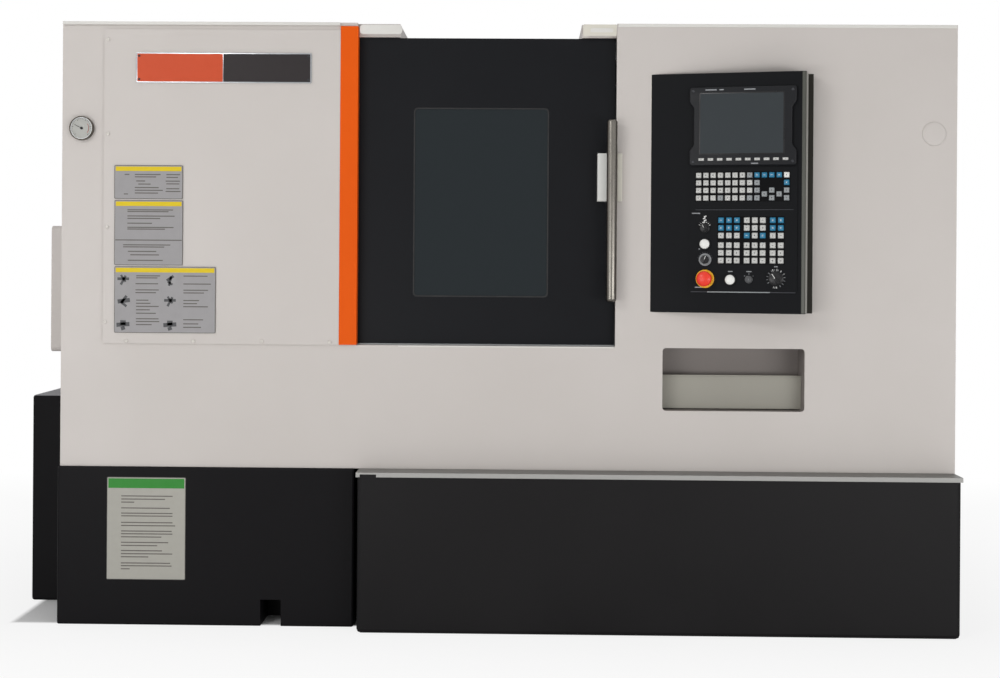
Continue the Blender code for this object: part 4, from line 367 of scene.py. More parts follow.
# %% Floor, background and lights
def studio_world():
    """An even light from all round that looks white to the camera, in reflections and through glass."""
    world = bpy.data.worlds.new("studio")
    world.use_nodes = True
    tree = world.node_tree
    tree.nodes.clear()
    ray = node(tree, "LightPath")
    seen = node(tree, "Math", links={0: ray.outputs["Is Camera Ray"], 1: ray.outputs["Is Glossy Ray"]},
                operation="MAXIMUM")
    seen_through = node(tree, "Math", links={0: seen.outputs[0], 1: ray.outputs["Is Transmission Ray"]},
                        operation="MAXIMUM")
    even = node(tree, "Background", {"Color": linear("#FFFFFF"), "Strength": 0.46})
    white = node(tree, "Background", {"Color": linear("#FFFFFF"), "Strength": 1.0})
    both = node(tree, "MixShader", links={0: seen_through.outputs[0], 1: even.outputs[0], 2: white.outputs[0]})
    node(tree, "OutputWorld", links={"Surface": both.outputs[0]})
    bpy.context.scene.world = world


MACHINE_HALF = (1.36, 0.79, 0)
FADE = 1.6


def studio_floor():
    """A pale floor that turns to white for the camera from the machine's outline outward."""
    floor_mesh = bmesh.new()
    bmesh.ops.create_circle(floor_mesh, cap_ends=True, segments=96, radius=14)
    mesh = bpy.data.meshes.new("studio_floor")
    floor_mesh.to_mesh(mesh)
    floor_mesh.free()
    floor = bpy.data.objects.new("studio_floor", mesh)
    bpy.context.scene.collection.objects.link(floor)
    material, tree, shader = new_finish("pale_studio_floor", Roughness=0.9, Specular_IOR_Level=0.1)
    shader.inputs["Base Color"].default_value = linear("#F4F4F4")
    place = node(tree, "TexCoord")
    across = node(tree, "VectorMath", links={0: place.outputs["Object"]}, operation="ABSOLUTE")
    outside = node(tree, "VectorMath", {1: MACHINE_HALF}, {0: across.outputs[0]}, operation="SUBTRACT")
    parts = node(tree, "SeparateXYZ", links={"Vector": outside.outputs[0]})
    reach = node(tree, "Math", links={0: parts.outputs["X"], 1: parts.outputs["Y"]}, operation="MAXIMUM")
    open_floor = node(tree, "MapRange", {"From Min": -0.02, "From Max": 0.0}, {"Value": reach.outputs[0]})
    away = node(tree, "MapRange", {"From Max": FADE, "To Min": 0.82}, {"Value": reach.outputs[0]})
    far = node(tree, "Math", links={0: open_floor.outputs["Result"], 1: away.outputs["Result"]},
               operation="MULTIPLY")
    ray = node(tree, "LightPath")
    seen = node(tree, "Math", links={0: far.outputs[0], 1: ray.outputs["Is Camera Ray"]},
                operation="MULTIPLY")
    white = node(tree, "Emission", {"Color": linear("#FFFFFF"), "Strength": 1.0})
    both = node(tree, "MixShader", links={0: seen.outputs[0], 1: shader.outputs[0], 2: white.outputs[0]})
    tree.links.new(both.outputs[0], tree.nodes["Material Output"].inputs["Surface"])
    mesh.materials.append(material)


def soft_light(name, place, target, size, power):
    """A rectangular light of a size and power that looks from its place at its target."""
    lamp = bpy.data.lights.new(name, "AREA")
    lamp.shape = "RECTANGLE"
    lamp.size, lamp.size_y = size
    lamp.energy = power
    light = bpy.data.objects.new(name, lamp)
    bpy.context.scene.collection.objects.link(light)
    aim = (Vector(target) - Vector(place)).to_track_quat("-Z", "Y")
    light.matrix_world = Matrix.Translation(place) @ aim.to_matrix().to_4x4()


studio_world()
studio_floor()
soft_light("key_light", (-2.4, -4.4, 2.9), (0.3, -0.7, 0.7), (1.3, 0.8), 36)
soft_light("left_fill_light", (-2.2, -4.9, 0.5), (-0.2, -0.7, 0.5), (2.8, 0.7), 42)
soft_light("right_fill_light", (3.0, -4.6, 0.5), (0.5, -0.7, 0.4), (2.8, 0.8), 54)
soft_light("top_light", (0.0, 0.4, 4.6), (0, 0, 0.9), (3.6, 3.0), 42)

# %% [markdown]
# ## Making a piece
# Small pieces are made of a few shapes: rounded plates, turned shapes and socket screws. Each is shaped
# in its own bmesh from a primitive, moved to its place and gathered into the piece with a finish number.
# The finished object stays at the origin with its place in its mesh, just as the solids have it.

# %% Drawings and gathering
FRONT = Matrix.Rotation(pi / 2, 4, "X")


def shift(x, y, z=0.0):
    """A move along the axes of a drawing."""
    return Matrix.Translation((x, y, z))


def facing(x, y, z):
    """A drawing on the machine's front: x to the right, y up and z towards the viewer."""
    return Matrix.Translation(on_machine(x, y, z)) @ FRONT


def gather(work, shape, finish=0, place=None):
    """Move a shape to its place and add it to a piece, with its finish number."""
    bmesh.ops.recalc_face_normals(shape, faces=shape.faces)
    if place is not None:
        shape.transform(place)
    for face in shape.faces:
        face.material_index = finish
    carrier = bpy.data.meshes.new("carrier")
    shape.to_mesh(carrier)
    shape.free()
    work.from_mesh(carrier)
    bpy.data.meshes.remove(carrier)


def stand(name, work, finishes, body="frame", instead_of=(), crease=32):
    """Turn the gathered shapes into an object that rides on its body."""
    mesh = bpy.data.meshes.new(name)
    work.to_mesh(mesh)
    work.free()
    for finish in finishes:
        mesh.materials.append(finish)
    mesh.shade_smooth()
    mesh.set_sharp_from_angle(angle=radians(crease))
    piece = bpy.data.objects.new(name, mesh)
    bpy.context.scene.collection.objects.link(piece)
    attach(piece, body)
    if instead_of:
        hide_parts(*instead_of)
    print(name, len(mesh.polygons), "faces")


print("drawings of the front face along", [round(value) for value in FRONT.col[2][:3]])

# %% [markdown]
# ## Basic shapes
# A plate is a cube that is scaled, has its upright corners rounded and then its rim. A turned shape is
# one side of its section, spun about its axis as on a lathe. A socket screw joins a round head to a
# six-sided hole with bridge_loops, which copes with different numbers of corners. A bar is a box between
# two corners. One small function rounds edges for all of them.


# %% Plate, turned shape, screw and bar
def soften(shape, edges, offset, segments=2):
    """Round some edges of a shape."""
    bmesh.ops.bevel(shape, geom=edges, offset=offset, segments=segments, profile=0.5, affect="EDGES",
                    material=-1)


def uprights(shape, least):
    """The edges that rise by more than a height."""
    return [edge for edge in shape.edges if abs(edge.verts[0].co.z - edge.verts[1].co.z) > least]


def edges_above(shape, level):
    """The edges that lie above a level."""
    return [edge for edge in shape.edges if all(vert.co.z > level for vert in edge.verts)]


def block(width, height, rise):
    """A box on the drawing plane, centred, with its back at zero."""
    shape = bmesh.new()
    bmesh.ops.create_cube(shape, size=1)
    bmesh.ops.translate(shape, verts=shape.verts, vec=(0, 0, 0.5))
    bmesh.ops.scale(shape, verts=shape.verts, vec=(width, height, rise))
    return shape


def plate(width, height, thickness, corner=0.0, rim=0.0):
    """A block with rounded corners and a rounded rim."""
    shape = block(width, height, thickness)
    if corner:
        soften(shape, uprights(shape, thickness / 2), corner, 3)
    if rim:
        soften(shape, edges_above(shape, thickness * 0.99), rim)
    return shape


def turned(profile, steps):
    """A section of (radius, height) points spun about local Z; ends on the axis are merged."""
    shape = bmesh.new()
    points = [shape.verts.new((radius, 0, height)) for radius, height in profile]
    edges = [shape.edges.new(pair) for pair in zip(points, points[1:])]
    bmesh.ops.spin(shape, geom=points + edges, cent=(0, 0, 0), axis=(0, 0, 1), angle=tau, steps=steps,
                   use_merge=True)
    bmesh.ops.remove_doubles(shape, verts=shape.verts, dist=0.00001)
    return shape


def socket_screw(radius, height):
    """A button head with a six-sided socket."""
    shape = bmesh.new()
    foot = bmesh.ops.create_circle(shape, segments=12, radius=radius)["verts"]
    rings = [foot]
    for share, level_share in ((1.0, 0.35), (0.78, 0.85), (0.55, 1.0)):
        rings.append(bmesh.ops.create_circle(shape, segments=12, radius=radius * share,
                                             matrix=shift(0, 0, height * level_share))["verts"])
    for level_share in (1.0, 0.3):
        rings.append(bmesh.ops.create_circle(shape, segments=6, radius=radius * 0.38,
                                             matrix=shift(0, 0, height * level_share))["verts"])
    for lower, upper in zip(rings, rings[1:]):
        loops = [edge for edge in shape.edges
                 if all(vert in lower for vert in edge.verts) or all(vert in upper for vert in edge.verts)]
        bmesh.ops.bridge_loops(shape, edges=loops)
    bmesh.ops.contextual_create(shape, geom=rings[-1])
    bmesh.ops.contextual_create(shape, geom=foot)
    return shape


def bar(low, high, rim=0.0):
    """A box between two corners, with every edge rounded."""
    shape = bmesh.new()
    bmesh.ops.create_cube(shape, size=1)
    size = Vector(high) - Vector(low)
    bmesh.ops.scale(shape, verts=shape.verts, vec=size)
    bmesh.ops.translate(shape, verts=shape.verts, vec=(Vector(low) + Vector(high)) / 2)
    if rim:
        soften(shape, list(shape.edges), rim)
    return shape


trial = socket_screw(0.004, 0.002)
print("a screw has", len(trial.faces), "faces")
trial.free()

# %% [markdown]
# ## Print and lacquer
# Printed fields, lacquered plates and small marks have a smooth skin. They share one recipe, with a
# slight change of tone and gloss, as print has where the ink lies thicker.


# %% Print
def printed(name, colour, roughness=0.42):
    """Ink or lacquer on a plate."""
    material, tree, shader = new_finish(name, IOR=1.5, Specular_IOR_Level=0.25)
    ink = noise(tree, node(tree, "TexCoord").outputs["Object"], 60.0, 4.0)
    dark = [channel * 0.93 for channel in linear(colour)[:3]] + [1]
    tone = node(tree, "Mix", {6: linear(colour), 7: dark}, {0: ink}, data_type="RGBA")
    tree.links.new(tone.outputs[2], shader.inputs["Base Color"])
    vary_gloss(tree, shader, ink, roughness - 0.05, roughness + 0.08)
    return material


plate_orange = printed("plate_orange_lacquer", "#C64A24")
plate_black = printed("plate_black_lacquer", "#211B1C")
label_grey = printed("label_grey_print", "#989697")
label_pale = printed("label_pale_print", "#A6A49C")
label_yellow = printed("label_yellow_print", "#D9BE16")
label_green = printed("label_green_print", "#2A812B")
mark_dark = printed("dark_print", "#4C4C4E")
label_rim = printed("label_rim_print", "#5E5B58")
mark_white = printed("white_print", "#D8D8D6")
mark_grey = printed("grey_print", "#8D8F92")
mark_faint = printed("faint_print", "#34353A")
mark_red = printed("red_print", "#B23A2E")
dial_grey = printed("dial_grey_lacquer", "#AEAEA9", 0.35)
label_text = printed("label_text_print", "#5F5B57")
print("finishes with print:", len(bpy.data.materials))

# %% [markdown]
# ## The operator's keys
# The control panel is a wedge: its face is turned towards the operator, who stands at the door. All
# its keys, knobs and marks are placed on one drawing of that face, with x along it and y upward.
# A keycap is moulded with sloping sides and a softened rim, so a block is narrowed at the top and
# bevelled. Dozens of caps share that shape, and only their colours differ.

# %% Drawing of the control panel
PANEL_LEFT = 1.716
PANEL_TURN = radians(-14)
FASCIA_TOP = 0.0033


def on_panel(along, up, out=FASCIA_TOP):
    """A place on the panel's slanted face: along it from its left edge, up from the floor."""
    face = Matrix.Translation(on_machine(PANEL_LEFT, 0, 0)) @ Matrix.Rotation(PANEL_TURN, 4, "Z") @ FRONT
    return face @ shift(along, up, out)


def keycap(width, height, rise):
    """A cap with sloping sides and a soft rim."""
    shape = block(width, height, rise)
    top = [face for face in shape.faces if face.normal.z > 0.5][0]
    bmesh.ops.scale(shape, verts=top.verts, vec=(0.84, 0.84, 1))
    soft = [edge for edge in shape.edges if any(vert.co.z > rise / 2 for vert in edge.verts)]
    soften(shape, soft, min(width, height) * 0.09)
    return shape


print("the panel starts at", PANEL_LEFT, "and is turned by", round(PANEL_TURN, 3))

# %% [markdown]
# ## The panel's case
# The case behind the face is the solid's own mesh. Its right end is drawn in to where the photograph
# shows it, its rims are rounded, and its flange gets a finish of its own. Its rounded corner is painted
# grey as a painted highlight, and its right side pale as a painted reflection of the white surroundings.

# %% Panel case
DRAWN_IN = 0.025
FLANGE_FACE = on_machine(0, -0.032, 0).y
FLANGE_WIDTH = 0.060
work = bmesh.new()
work.from_mesh(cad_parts["panel_housing"].data)
bmesh.ops.remove_doubles(work, verts=work.verts, dist=0.00001)
housing_low, housing_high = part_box("panel_housing")
outer = [vert for vert in work.verts if vert.co.x > housing_high.x - 0.001]
bmesh.ops.translate(work, verts=outer, vec=(-DRAWN_IN, 0, 0))
bmesh.ops.dissolve_limit(work, angle_limit=radians(1), verts=work.verts, edges=work.edges)
rims = [edge for edge in work.edges if edge.calc_face_angle(0) > radians(40)
        and (all(vert.co.z > housing_high.z - 0.001 for vert in edge.verts)
             or all(vert.co.z < housing_low.z + 0.001 for vert in edge.verts))]
soften(work, rims, 0.0015)
# The rounded corner's faces get a painted highlight, the right side a painted reflection, the flange its own
# paint.
for face in work.faces:
    ahead = face.calc_center_median().y < FLANGE_FACE - 0.004 and abs(face.normal.z) < 0.3
    if ahead and face.normal.x > 0.9:
        face.material_index = 2
    elif ahead and face.normal.x > -0.15:
        face.material_index = 1
    elif face.normal.y < -0.9 and face.calc_center_median().x > housing_high.x - FLANGE_WIDTH:
        face.material_index = 3
stand("panel_case", work, [panel_paint, panel_corner_highlight, panel_side_reflection, flange_paint], instead_of=["panel_housing"],
      crease=20)

# %% [markdown]
# ## Where the keys are
# The upper keypad enters programs and the lower one works the machine. Both are grids with gaps. Rows of
# colours describe the upper one, and a rule places and colours the lower one. Four grey arrow keys stand
# in a diamond beside the upper grid.

# %% Rows of keys
LIGHT, GREY, BLUE, WHITE = range(4)
mdi_rows = (
    [LIGHT] * 7 + [GREY] + [BLUE] * 4 + [WHITE],
    [LIGHT] * 8 + [GREY, None, None, None, BLUE],
    [LIGHT] * 8 + [GREY, None, None, None, GREY],
    [LIGHT] * 3 + [GREY] + [LIGHT] * 3 + [GREY, GREY, None, None, None, GREY],
)


def mdi_key(column, row, colour):
    """A key of the upper keypad: its place on the panel and its colour."""
    return 0.140 + column * 0.0208, 1.316 - row * 0.0217, colour


def operator_key(column, row):
    """A key of the lower keypad, whose columns stand in groups of three."""
    group = column // 3
    blue = (group != 1 and row < 2) or (group == 1 and row == 2 and column != 4)
    return (0.205 + column * 0.0226 + group * 0.0055, 1.187 - row * 0.0218 - (0.006 if row > 2 else 0),
            BLUE if blue else LIGHT)


ARROW_PLACES = (9, 2.5), (10, 2), (10, 3), (11, 2.5)
ARROW_TURNS = 180, 90, -90, 0
mdi_keys = [mdi_key(column, row, colour) for row, colours in enumerate(mdi_rows)
            for column, colour in enumerate(colours) if colour is not None]
mdi_keys += [mdi_key(column, row, GREY) for column, row in ARROW_PLACES]
operator_keys = [operator_key(column, row) for column in range(8) for row in range(6)]
print("keys:", len(mdi_keys), "and", len(operator_keys))

# %% [markdown]
# ## Marks on the keys
# Real keys carry letters and symbols. At this size only a short dark stroke or two shows on each, so
# simple strokes, crosses and arrowheads stand for them, chosen in turn so that neighbours differ.


# %% Keypads
STROKES = (
    ((0, 0, 0.9, 0.22),),
    ((0, 0.25, 0.9, 0.18), (0, -0.25, 0.55, 0.18)),
    ((-0.2, 0, 0.2, 0.8), (0.2, 0, 0.2, 0.8)),
    ((0, 0, 0.2, 0.9), (0, 0, 0.9, 0.2)),
)
ARROWHEAD = 4
MARK_DEPTH = 0.0002


def key_mark(kind, size):
    """A small generic sign: one stroke, two lying ones, two upright ones, a cross or an arrowhead."""
    shape = bmesh.new()
    if kind == ARROWHEAD:
        bmesh.ops.create_cone(shape, cap_ends=True, segments=3, radius1=size * 0.55, radius2=size * 0.55,
                              depth=MARK_DEPTH)
        return shape
    for middle_x, middle_y, width, height in STROKES[kind]:
        made = bmesh.ops.create_cube(shape, size=1)["verts"]
        bmesh.ops.scale(shape, verts=made, vec=(width * size, height * size, MARK_DEPTH))
        bmesh.ops.translate(shape, verts=made, vec=(middle_x * size, middle_y * size, 0))
    return shape


def keypad(name, keys, size, solid, arrows=()):
    """A dark membrane with its caps and their marks; the last keys carry arrows, turned by so many degrees."""
    work = bmesh.new()
    edge = size / 2 + 0.0021
    low_x, high_x = min(key[0] for key in keys) - edge, max(key[0] for key in keys) + edge
    low_y, high_y = min(key[1] for key in keys) - edge, max(key[1] for key in keys) + edge
    gather(work, plate(high_x - low_x, high_y - low_y, 0.003, 0.002), 4,
           on_panel((low_x + high_x) / 2, (low_y + high_y) / 2, 0.0003))
    for number, (along, up, colour) in enumerate(keys):
        gather(work, keycap(size, size, 0.0045), colour, on_panel(along, up))
        kind, turn = (number * 7 + number // 5) % 4, 0
        if number >= len(keys) - len(arrows):
            kind, turn = ARROWHEAD, arrows[number - len(keys)]
        gather(work, key_mark(kind, size * 0.36), 6 if colour == BLUE else 5,
               on_panel(along, up, FASCIA_TOP + 0.00451) @ Matrix.Rotation(radians(turn), 4, "Z"))
    stand(name, work, [key_light, key_grey, key_blue, white_plastic, membrane, mark_dark, mark_white],
          instead_of=[solid])


keypad("mdi_keypad", mdi_keys, 0.0155, "mdi_keys", ARROW_TURNS)
keypad("operator_keypad", operator_keys, 0.0165, "operator_keys")

# %% [markdown]
# ## Display
# The screen unit is a dark plastic frame with a lobe at each corner for its screws. Its glass lies a
# few millimetres deep. Ten narrow keys sit below it, and short grey marks sit on the frame above the
# glass and below the keys.


# %% Display unit
BEZEL_FOOT = 0.0003
BEZEL_RISE = 0.012
DISPLAY_FACE = BEZEL_FOOT + BEZEL_RISE


def display_frame():
    """The frame's outline with four lobes, drawn up and rounded."""
    shape = bmesh.new()
    half_x, half_y, lobe, waist = 0.152, 0.1125, 0.045, 0.012
    corners = [(half_x, -half_y), (half_x, -half_y + lobe), (half_x - waist, -half_y + lobe + waist),
               (half_x - waist, half_y - lobe - waist), (half_x, half_y - lobe), (half_x, half_y)]
    corners += [(-x, y) for x, y in reversed(corners)]
    floor = shape.faces.new([shape.verts.new((x, y, 0)) for x, y in corners])
    drawn = bmesh.ops.extrude_face_region(shape, geom=[floor])["geom"]
    bmesh.ops.translate(shape, verts=[item for item in drawn if isinstance(item, bmesh.types.BMVert)],
                        vec=(0, 0, BEZEL_RISE))
    soften(shape, uprights(shape, BEZEL_RISE / 2), 0.007, 3)
    soften(shape, edges_above(shape, BEZEL_RISE * 0.99), 0.0035, 3)
    return shape


work = bmesh.new()
gather(work, display_frame(), 0, on_panel(0.265, 1.4555, BEZEL_FOOT))
gather(work, plate(0.243, 0.179, 0.0008, 0.004, 0.0005), 1, on_panel(0.2625, 1.4635, DISPLAY_FACE - 0.0003))
gather(work, plate(0.235, 0.171, 0.0004, 0.002), 2, on_panel(0.2625, 1.4635, DISPLAY_FACE + 0.0002))
for along in (0.124, 0.406):
    for up in (1.354, 1.557):
        gather(work, socket_screw(0.0042, 0.002), 3, on_panel(along, up, DISPLAY_FACE - 0.0003))
for number in range(10):
    along = 0.148 + number * 0.0265
    gather(work, keycap(0.016, 0.0075, 0.0022), 4, on_panel(along, 1.361, DISPLAY_FACE))
    gather(work, key_mark(1 if number % 3 else 0, 0.004), 5, on_panel(along, 1.361, DISPLAY_FACE + 0.00221))
for along, up, length in ((0.175, 1.560, 0.032), (0.205, 1.560, 0.012), (0.285, 1.560, 0.032),
                          (0.300, 1.3485, 0.020)):
    gather(work, plate(length, 0.0035, 0.0002), 6, on_panel(along, up, DISPLAY_FACE))
stand("display", work, [bezel_plastic, knob_plastic, screen_glass, blackened, key_light, mark_dark, mark_grey],
      instead_of=["display_unit"])

# %% [markdown]
# ## Knobs and buttons
# Each control is a turned shape. The two mushroom and lens buttons are domes, and the selector knobs are
# fluted drums with a raised grip and a white line. Round them the panel carries generic marks: short
# strokes on an arc, as a dial has.


# %% Rotary knobs
FLUTES = 18


def fluted_drum(radius, height):
    """A drum whose side carries shallow grip flutes, with a rounded top."""
    shape = bmesh.new()
    bmesh.ops.create_cone(shape, cap_ends=True, segments=FLUTES * 4, radius1=radius, radius2=radius,
                          depth=height)
    bmesh.ops.translate(shape, verts=shape.verts, vec=(0, 0, height / 2))
    for number, vert in enumerate(sorted(shape.verts, key=lambda v: (v.co.z, atan2(v.co.y, v.co.x)))):
        if number % 4 == 0:
            vert.co.x *= 0.955
            vert.co.y *= 0.955
    soften(shape, edges_above(shape, height * 0.9), radius * 0.08)
    return shape


def dial_marks(work, along, up, radius, start, end, count, finish, length):
    """Short strokes on an arc, printed on the fascia."""
    for number in range(count):
        angle = radians(start + (end - start) * number / (count - 1))
        turn = Matrix.Rotation(angle, 4, "Z") @ shift(0, radius)
        width = 0.0014 if number % 3 else 0.0020
        gather(work, plate(width, length, 0.0002), finish, on_panel(along, up) @ turn)


def rotary_knob(name, along, up, radius, body, start, ring=0):
    """A skirt, a fluted drum and a grip with its white line, turned to where the hand left it."""
    work = bmesh.new()
    rest = on_panel(along, up) @ Matrix.Rotation(radians(start), 4, "Z")
    brim = radius + (0.0055 if ring else 0.0030)
    skirt = [(0, 0.0003), (brim, 0.0003), (brim, 0.0028), (radius + 0.0006, 0.0042), (0, 0.0042)]
    gather(work, turned(skirt, 40), ring, rest)
    gather(work, fluted_drum(radius - 0.0004, 0.013), 0, rest @ shift(0, 0, 0.0042))
    grip = bar((-radius * 0.2, -radius * 0.92, 0.0150), (radius * 0.2, radius * 0.92, 0.0215), 0.0012)
    gather(work, grip, 0, rest)
    gather(work, plate(radius * 0.12, radius * 0.80, 0.0002), 1, rest @ shift(0, radius * 0.48, 0.0215))
    stand(name, work, [knob_plastic, mark_white, dial_ring], body=body, instead_of=[body])


rotary_knob("spindle_speed_knob", 0.158, 1.165, 0.011, "spindle_knob", 25)
rotary_knob("feed_rate_knob", 0.160, 1.074, 0.0125, "feed_knob", -20, ring=2)
rotary_knob("mode_selector", 0.361, 1.021, 0.018, "mode_knob", 35)
work = bmesh.new()
for dial in ((0.158, 1.165, 0.0170, 60, -60, 7, 0, 0.004), (0.160, 1.074, 0.0212, 75, -75, 9, 2, 0.0030),
             (0.361, 1.021, 0.0245, 120, -150, 13, 1, 0.005), (0.361, 1.021, 0.0250, 20, -60, 4, 0, 0.006),
             (0.361, 1.021, 0.0255, 185, 165, 3, 0, 0.005), (0.285, 1.018, 0.0155, 50, -50, 3, 1, 0.003)):
    dial_marks(work, *dial)
for number in range(4):
    spot = on_panel(0.1565 + 0.0030 * (number % 2), 1.1815 + number * 0.0055)
    gather(work, plate(0.0075, 0.0035, 0.0002, 0.0008), 0, spot @ Matrix.Rotation(0.4, 4, "Z"))
for along, up, length in ((0.133, 1.207, 0.024), (0.143, 1.1045, 0.005), (0.232, 1.0405, 0.013),
                          (0.285, 1.0405, 0.015), (0.361, 1.055, 0.010), (0.148, 0.9945, 0.034)):
    gather(work, plate(length, 0.0030, 0.0002), 1, on_panel(along, up))
gather(work, plate(0.277, 0.0016, 0.0002), 2, on_panel(0.2705, 1.217))
for along, length, finish in ((0.1425, 0.047, 2), (0.2555, 0.179, 3), (0.3805, 0.071, 2)):
    tab = bar((-length / 2, -0.0015, 0), (length / 2, 0.0015, 0.0024), 0.0007)
    gather(work, tab, finish, on_panel(along, 0.9815))
stand("panel_marks", work, [mark_white, mark_grey, mark_faint, key_grey])

# %% [markdown]
# ## Stop button, push buttons and key switch
# The stop button is a red mushroom over a yellow collar, and turning arrows on its top are the usual
# sign for how it is released. The two push buttons have white lenses in black threaded rings.


# %% Buttons
def turned_piece(name, profile, steps, place, finish, **more):
    """A piece that is one turned shape."""
    work = bmesh.new()
    gather(work, turned(profile, steps), 0, place)
    stand(name, work, [finish], **more)


STOP_SEAT = FASCIA_TOP + 0.014
work = bmesh.new()
dome = [(0.0220 * cos(radians(angle)), STOP_SEAT + 0.010 + 0.010 * sin(radians(angle)))
        for angle in (90, 78, 66, 54, 42, 30, 18, 6)]
rim = [(0.0218, STOP_SEAT + 0.0050), (0.0212, STOP_SEAT + 0.0012), (0.0198, STOP_SEAT)]
gather(work, turned(dome + rim + [(0.008, STOP_SEAT), (0.008, 0.0)], 48), 0, on_panel(0.160, 1.019, 0.0))
for number in range(3):
    arrow = on_panel(0.160, 1.019, STOP_SEAT + 0.0193) @ Matrix.Rotation(tau * number / 3, 4, "Z")
    gather(work, key_mark(0, 0.0065), 1, arrow @ shift(0, 0.0065, -0.0006) @ Matrix.Rotation(-0.13, 4, "X"))
stand("stop_mushroom", work, [stop_red, mark_white], body="emergency_stop", instead_of=["emergency_stop"])
collar = [(0.0178, 0.0053), (0.0245, 0.0053), (0.0262, 0.0040), (0.0265, 0.0003), (0.0178, 0.0003),
          (0.0178, 0.0053)]
turned_piece("stop_collar", collar, 48, on_panel(0.160, 1.019), stop_yellow,
             instead_of=["emergency_stop_collar"])

LENS = [(0, 0.0143), (0.0070, 0.0141), (0.0115, 0.0131), (0.0136, 0.0111), (0.0140, 0.0085),
        (0.0140, 0.0045), (0, 0.0045)]
RING = [(0.0143, 0.0060), (0.0156, 0.0060), (0.0165, 0.0050), (0.0168, 0.0003), (0.0143, 0.0003),
        (0.0143, 0.0060)]
for name, along, up, body, solid in (("start_button", 0.232, 1.017, "cycle_start", "cycle_start_button"),
                                     ("hold_button", 0.159, 1.119, "program_stop", "program_stop_button")):
    turned_piece(name, LENS, 40, on_panel(along, up), white_plastic, body=body, instead_of=[solid])
    turned_piece(name + "_ring", RING, 40, on_panel(along, up), knob_plastic)

work = bmesh.new()
barrel = [(0.0030, 0.0075), (0.0080, 0.0075), (0.0088, 0.0068), (0.0090, 0.0045), (0.0110, 0.0040),
          (0.0110, 0.0004), (0.0030, 0.0004), (0.0030, 0.0075)]
gather(work, turned(barrel, 40), 0, on_panel(0.285, 1.018))
plug_face = [(0, 0.0070), (0.0029, 0.0070), (0.0029, 0.0004), (0, 0.0004)]
gather(work, turned(plug_face, 24), 0, on_panel(0.285, 1.018))
gather(work, plate(0.0011, 0.0046, 0.0002), 1, on_panel(0.285, 1.018, FASCIA_TOP + 0.0070))
stand("key_barrel", work, [steel_key, mark_grey], body="key_switch", instead_of=["key_switch"])

# %% [markdown]
# ## The door's handle and window
# The handle is a brushed steel tube on two posts with round feet, and its closed ends are domed. Its long
# light and dark streaks of tone are painted reflections of the room. The window is held behind the door
# by a rubber strip, of which a thin black lip shows all round.


# %% Handle and window strip
def frame_strip(width, height, reach, thickness, corner):
    """A rectangular ring: a plate inset by its reach, with the middle taken out."""
    shape = plate(width, height, thickness, corner)
    for side in (1, -1):
        shape.faces.ensure_lookup_table()
        flat = [face for face in shape.faces if face.normal.z * side > 0.9]
        bmesh.ops.inset_region(shape, faces=flat, thickness=reach, use_even_offset=True)
    inner = [face for face in shape.faces if abs(face.normal.z) > 0.9
             and all(abs(vert.co.x) < width / 2 - reach / 2 and abs(vert.co.y) < height / 2 - reach / 2
                     for vert in face.verts)]
    rims = [edge for face in inner for edge in face.edges]
    bmesh.ops.delete(shape, geom=inner, context="FACES_ONLY")
    bmesh.ops.bridge_loops(shape, edges=list(dict.fromkeys(rims)))
    return shape


HANDLE_X, HANDLE_Y = 1.602, -0.035
bar_foot, bar_top = 0.950, 1.476
work = bmesh.new()
ends = [(0, bar_top), (0.0090, bar_top - 0.0006), (0.0130, bar_top - 0.0026), (0.0152, bar_top - 0.0062),
        (0.0155, bar_top - 0.0100), (0.0155, bar_foot + 0.0100), (0.0152, bar_foot + 0.0062),
        (0.0130, bar_foot + 0.0026), (0.0090, bar_foot + 0.0006), (0, bar_foot)]
gather(work, turned(ends, 48), 0, Matrix.Translation(on_machine(HANDLE_X, HANDLE_Y, 0)))
post = [(0, 0.0), (0.0080, 0.0), (0.0080, 0.0560), (0.0092, 0.0585), (0.0110, 0.0590), (0.0110, 0.0640),
        (0.0100, 0.0647), (0, 0.0647)]
for height in (1.025, 1.401):
    gather(work, turned(post, 32), 0, facing(HANDLE_X, HANDLE_Y, height) @ Matrix.Rotation(pi, 4, "Y"))
stand("handle_bar", work, [polished_painted_reflections], body="door", instead_of=["door_handle"])

work = bmesh.new()
gather(work, frame_strip(0.3955, 0.5535, 0.004, 0.0016, 0.012), 0, facing(1.223, 0.0318, 1.237))
stand("window_strip", work, [rubber], body="door")

# %% [markdown]
# ## Gauge and blind cap
# A pressure gauge looks out of the front sheet: a bronzed case with a rolled rim, a grey dial with a
# black scale and a short red range, and a black pointer. On the far side the same hole is closed by a
# painted cap.

# %% Gauge
COVER_FACE = -0.0086
GAUGE = facing(0.059, 0, 1.445)
DIAL = 0.0114
work = bmesh.new()
case = [(0, 0.0110), (0.0320, 0.0110), (0.0320, 0.0148), (0.0330, 0.0158), (0.0342, 0.0158),
        (0.0350, 0.0146), (0.0350, 0.0003), (0.010, 0.0003), (0.010, -0.0300), (0, -0.0300)]
gather(work, turned(case, 56), 0, GAUGE)
gather(work, turned([(0, DIAL), (0.0316, DIAL), (0.0316, 0.0111), (0, 0.0111)], 48), 1, GAUGE)
for number in range(26):
    turn = Matrix.Rotation(radians(135 - 270 * number / 25), 4, "Z")
    width, length = (0.0007, 0.0028) if number % 5 else (0.0011, 0.0050)
    gather(work, plate(width, length, 0.0002), 2, GAUGE @ turn @ shift(0, 0.0285 - length / 2, DIAL))
for number in range(10):
    turn = Matrix.Rotation(radians(-60 - 7 * number), 4, "Z")
    gather(work, plate(0.0038, 0.0014, 0.0002), 3, GAUGE @ turn @ shift(0, 0.0215, DIAL))
inner_ring = [(0.0290, 0.0110), (0.0320, 0.0110), (0.0320, 0.0128), (0.0300, 0.0128), (0.0290, 0.0110)]
